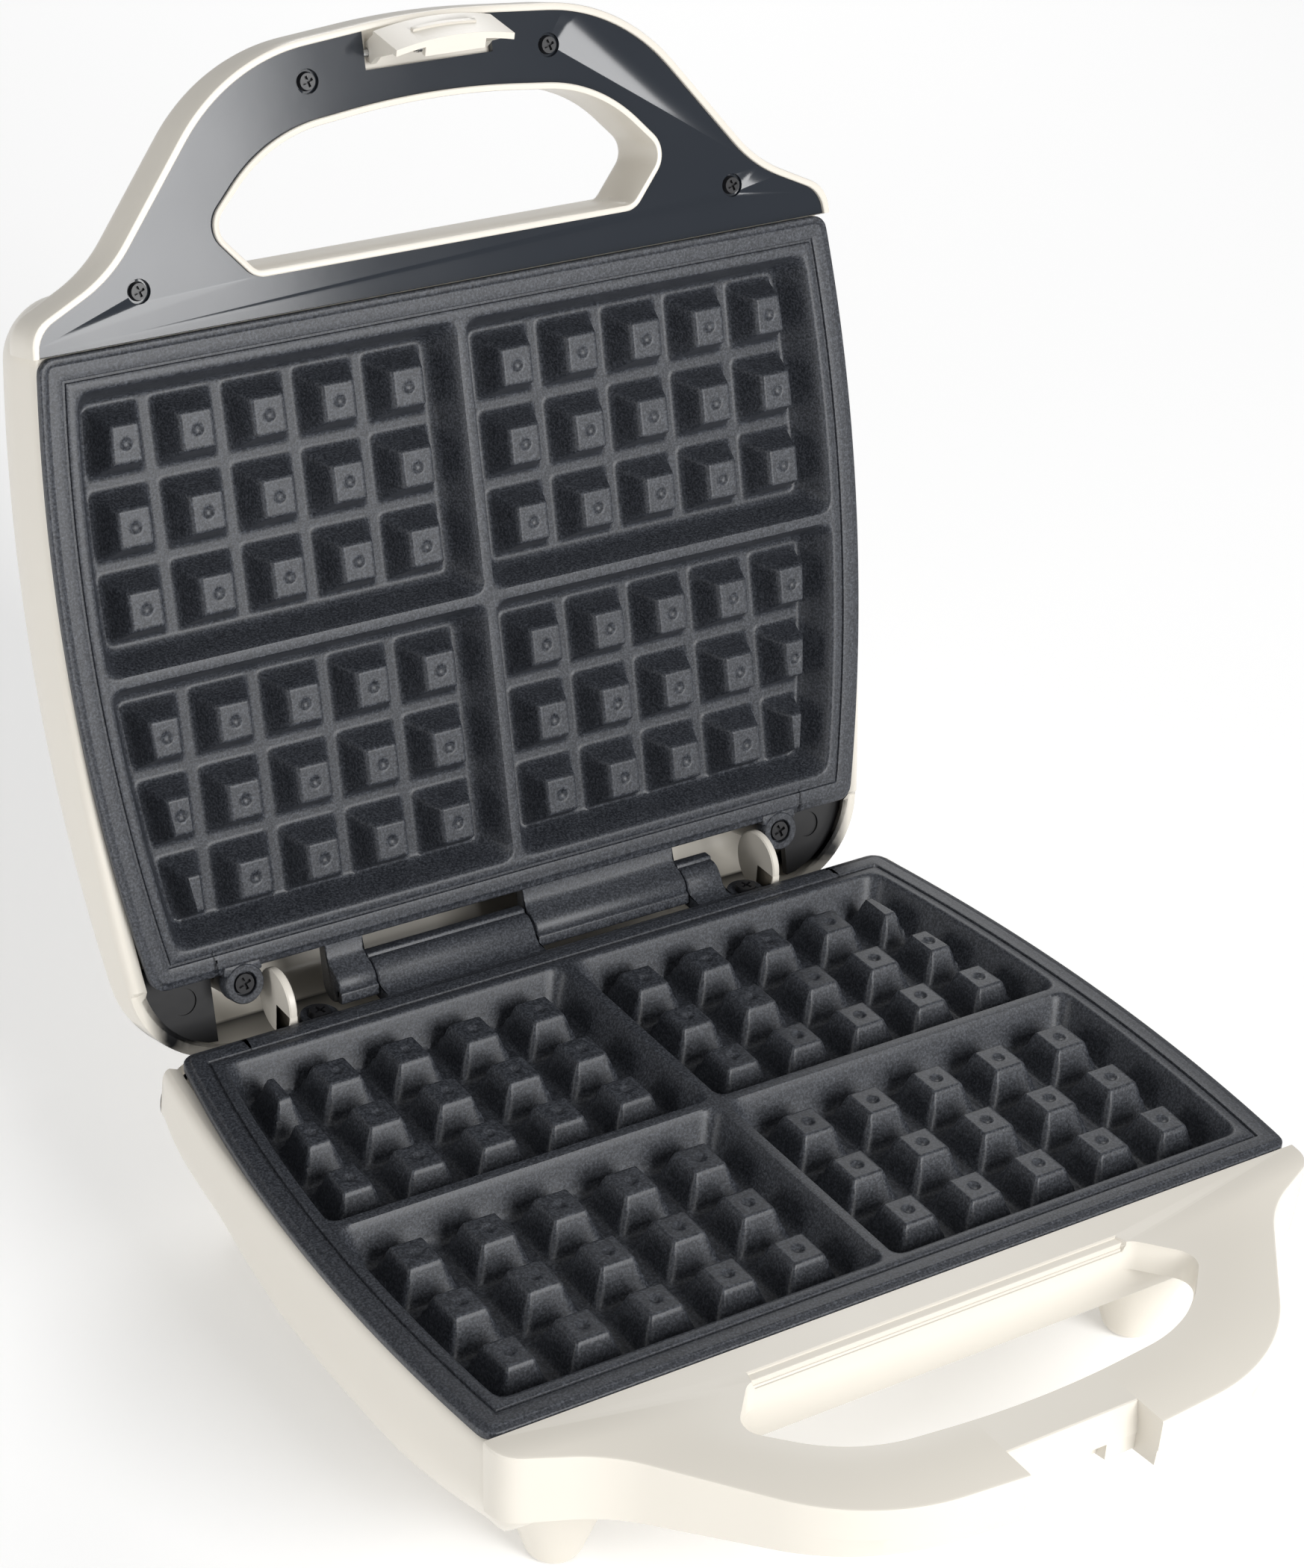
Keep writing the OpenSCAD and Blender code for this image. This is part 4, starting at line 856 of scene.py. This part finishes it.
# ---------------------------------------------------------------------------------------------
# Upper cooking plate
# The partner of the lower plate, turned over, with its ears further out.


def turned_over(points):
    """Half a turn about the y axis, then onto the lid."""
    return on_lid(np.asarray(points, float) * [-1, 1, -1])


upper_sheets = casting_sheets(92.2, -5.2, -0.2, 2.2)
upper = moulding("upper_grid", upper_sheets, turned_over, "lid", ["upper_plate"], 42)
upper.data.materials.append(charcoal_coating)

# ---------------------------------------------------------------------------------------------
# Indicator lamps
# Two neon lamps on a small board under the dome, shown through a red and a green lens.


def clear_lens(name, colour):
    """Tinted clear plastic that lets part of the light through, with a faint waviness."""
    m = moulded_plastic(name, colour, 0.12, 0.1)
    m.node_tree.nodes["Principled BSDF"].inputs["Transmission Weight"].default_value = 0.4
    return m


finished("power_lens", clear_lens("red_lens", (0.62, 0.02, 0.015)))
finished("ready_lens", clear_lens("green_lens", (0.03, 0.40, 0.07)))
finished("power_lamp", clear_lens("neon_glass_a", (0.80, 0.45, 0.28)))
finished("ready_lamp", clear_lens("neon_glass_b", (0.80, 0.45, 0.28)))
finished("lamp_board", moulded_plastic("board_green", (0.03, 0.14, 0.05), 0.5, 0.2))

# ---------------------------------------------------------------------------------------------
# Latch
# A small sprung hook in the same cream plastic, hung on a steel pin in the middle of the lid's
# handle. It leans inwards until the base handle's lip pushes it out.

catch = trimmed("latch", "latch_hook", "latch", 0.3)
catch.data.materials.append(cream_abs)
finished("latch_pin", bright_steel)
finished("latch_spring", bright_steel)

# ---------------------------------------------------------------------------------------------
# Floor, light and camera
# A pale floor, one broad soft light above and in front, a weaker one from the right, and a
# long lens to the left of the machine and well above it.

a = np.linspace(0, 2 * np.pi, 64, endpoint=False)
floor_mesh = bpy.data.meshes.new("floor")
floor_mesh.from_pydata([(9 * np.cos(t), 9 * np.sin(t), 0) for t in a], [], [tuple(range(64))])
floor = bpy.data.objects.new("floor", floor_mesh)
bpy.context.scene.collection.objects.link(floor)
pale = bpy.data.materials.new("pale_floor")
pale.use_nodes = True
pale.node_tree.nodes["Principled BSDF"].inputs["Base Color"].default_value = (0.93, 0.93, 0.93, 1)
pale.node_tree.nodes["Principled BSDF"].inputs["Roughness"].default_value = 0.9
pale.node_tree.nodes["Principled BSDF"].inputs["Emission Color"].default_value = (1, 1, 1, 1)
pale.node_tree.nodes["Principled BSDF"].inputs["Emission Strength"].default_value = 0.22
floor_mesh.materials.append(pale)

world = bpy.data.worlds.new("studio")
bpy.context.scene.world = world
world.use_nodes = True
world.node_tree.nodes["Background"].inputs["Color"].default_value = (1, 1, 1, 1)
world.node_tree.nodes["Background"].inputs["Strength"].default_value = 0.34


def soft_light(name, place, aim, width, power):
    """A square area light at place, turned to face aim."""
    lamp = bpy.data.lights.new(name, "AREA")
    lamp.size = width
    lamp.energy = power
    ob = bpy.data.objects.new(name, lamp)
    bpy.context.scene.collection.objects.link(ob)
    ob.location = place
    toward = Vector(aim) - Vector(place)
    ob.rotation_mode = "QUATERNION"
    ob.rotation_quaternion = toward.to_track_quat("-Z", "Y")


soft_light("key", (0.35, -1.7, 0.85), (0, 0, 0.1), 1.0, 34)
soft_light("left", (-1.7, 0.1, 0.35), (0, 0, 0.05), 0.8, 9)
soft_light("back", (0.9, 1.5, 1.3), (0, 0, 0.1), 0.9, 10)

right = np.array([0.8512, -0.5234, 0.0387])
view = np.array([0.4730, 0.7332, -0.4885])
view -= right * (right @ view)
view /= np.linalg.norm(view)
right /= np.linalg.norm(right)
up = np.cross(right, view)
camera = bpy.data.objects.new("camera", bpy.data.cameras.new("camera"))
bpy.context.scene.collection.objects.link(camera)
camera.rotation_mode = "QUATERNION"
camera.rotation_quaternion = Matrix(np.column_stack([right, up, -view]).tolist()).to_quaternion()
camera.location = on_table([[-478.107, -753.452, 552.132]])[0]
camera.data.sensor_width = 36
camera.data.lens = 4743.05 / 2100 * 36
camera.data.shift_x = (873 - 745.49) / 2100
camera.data.shift_y = (1037.16 - 1050) / 2100
bpy.context.scene.camera = camera
camera.data.clip_start, camera.data.clip_end = 0.05, 60
bpy.context.scene.view_settings.view_transform = "Standard"
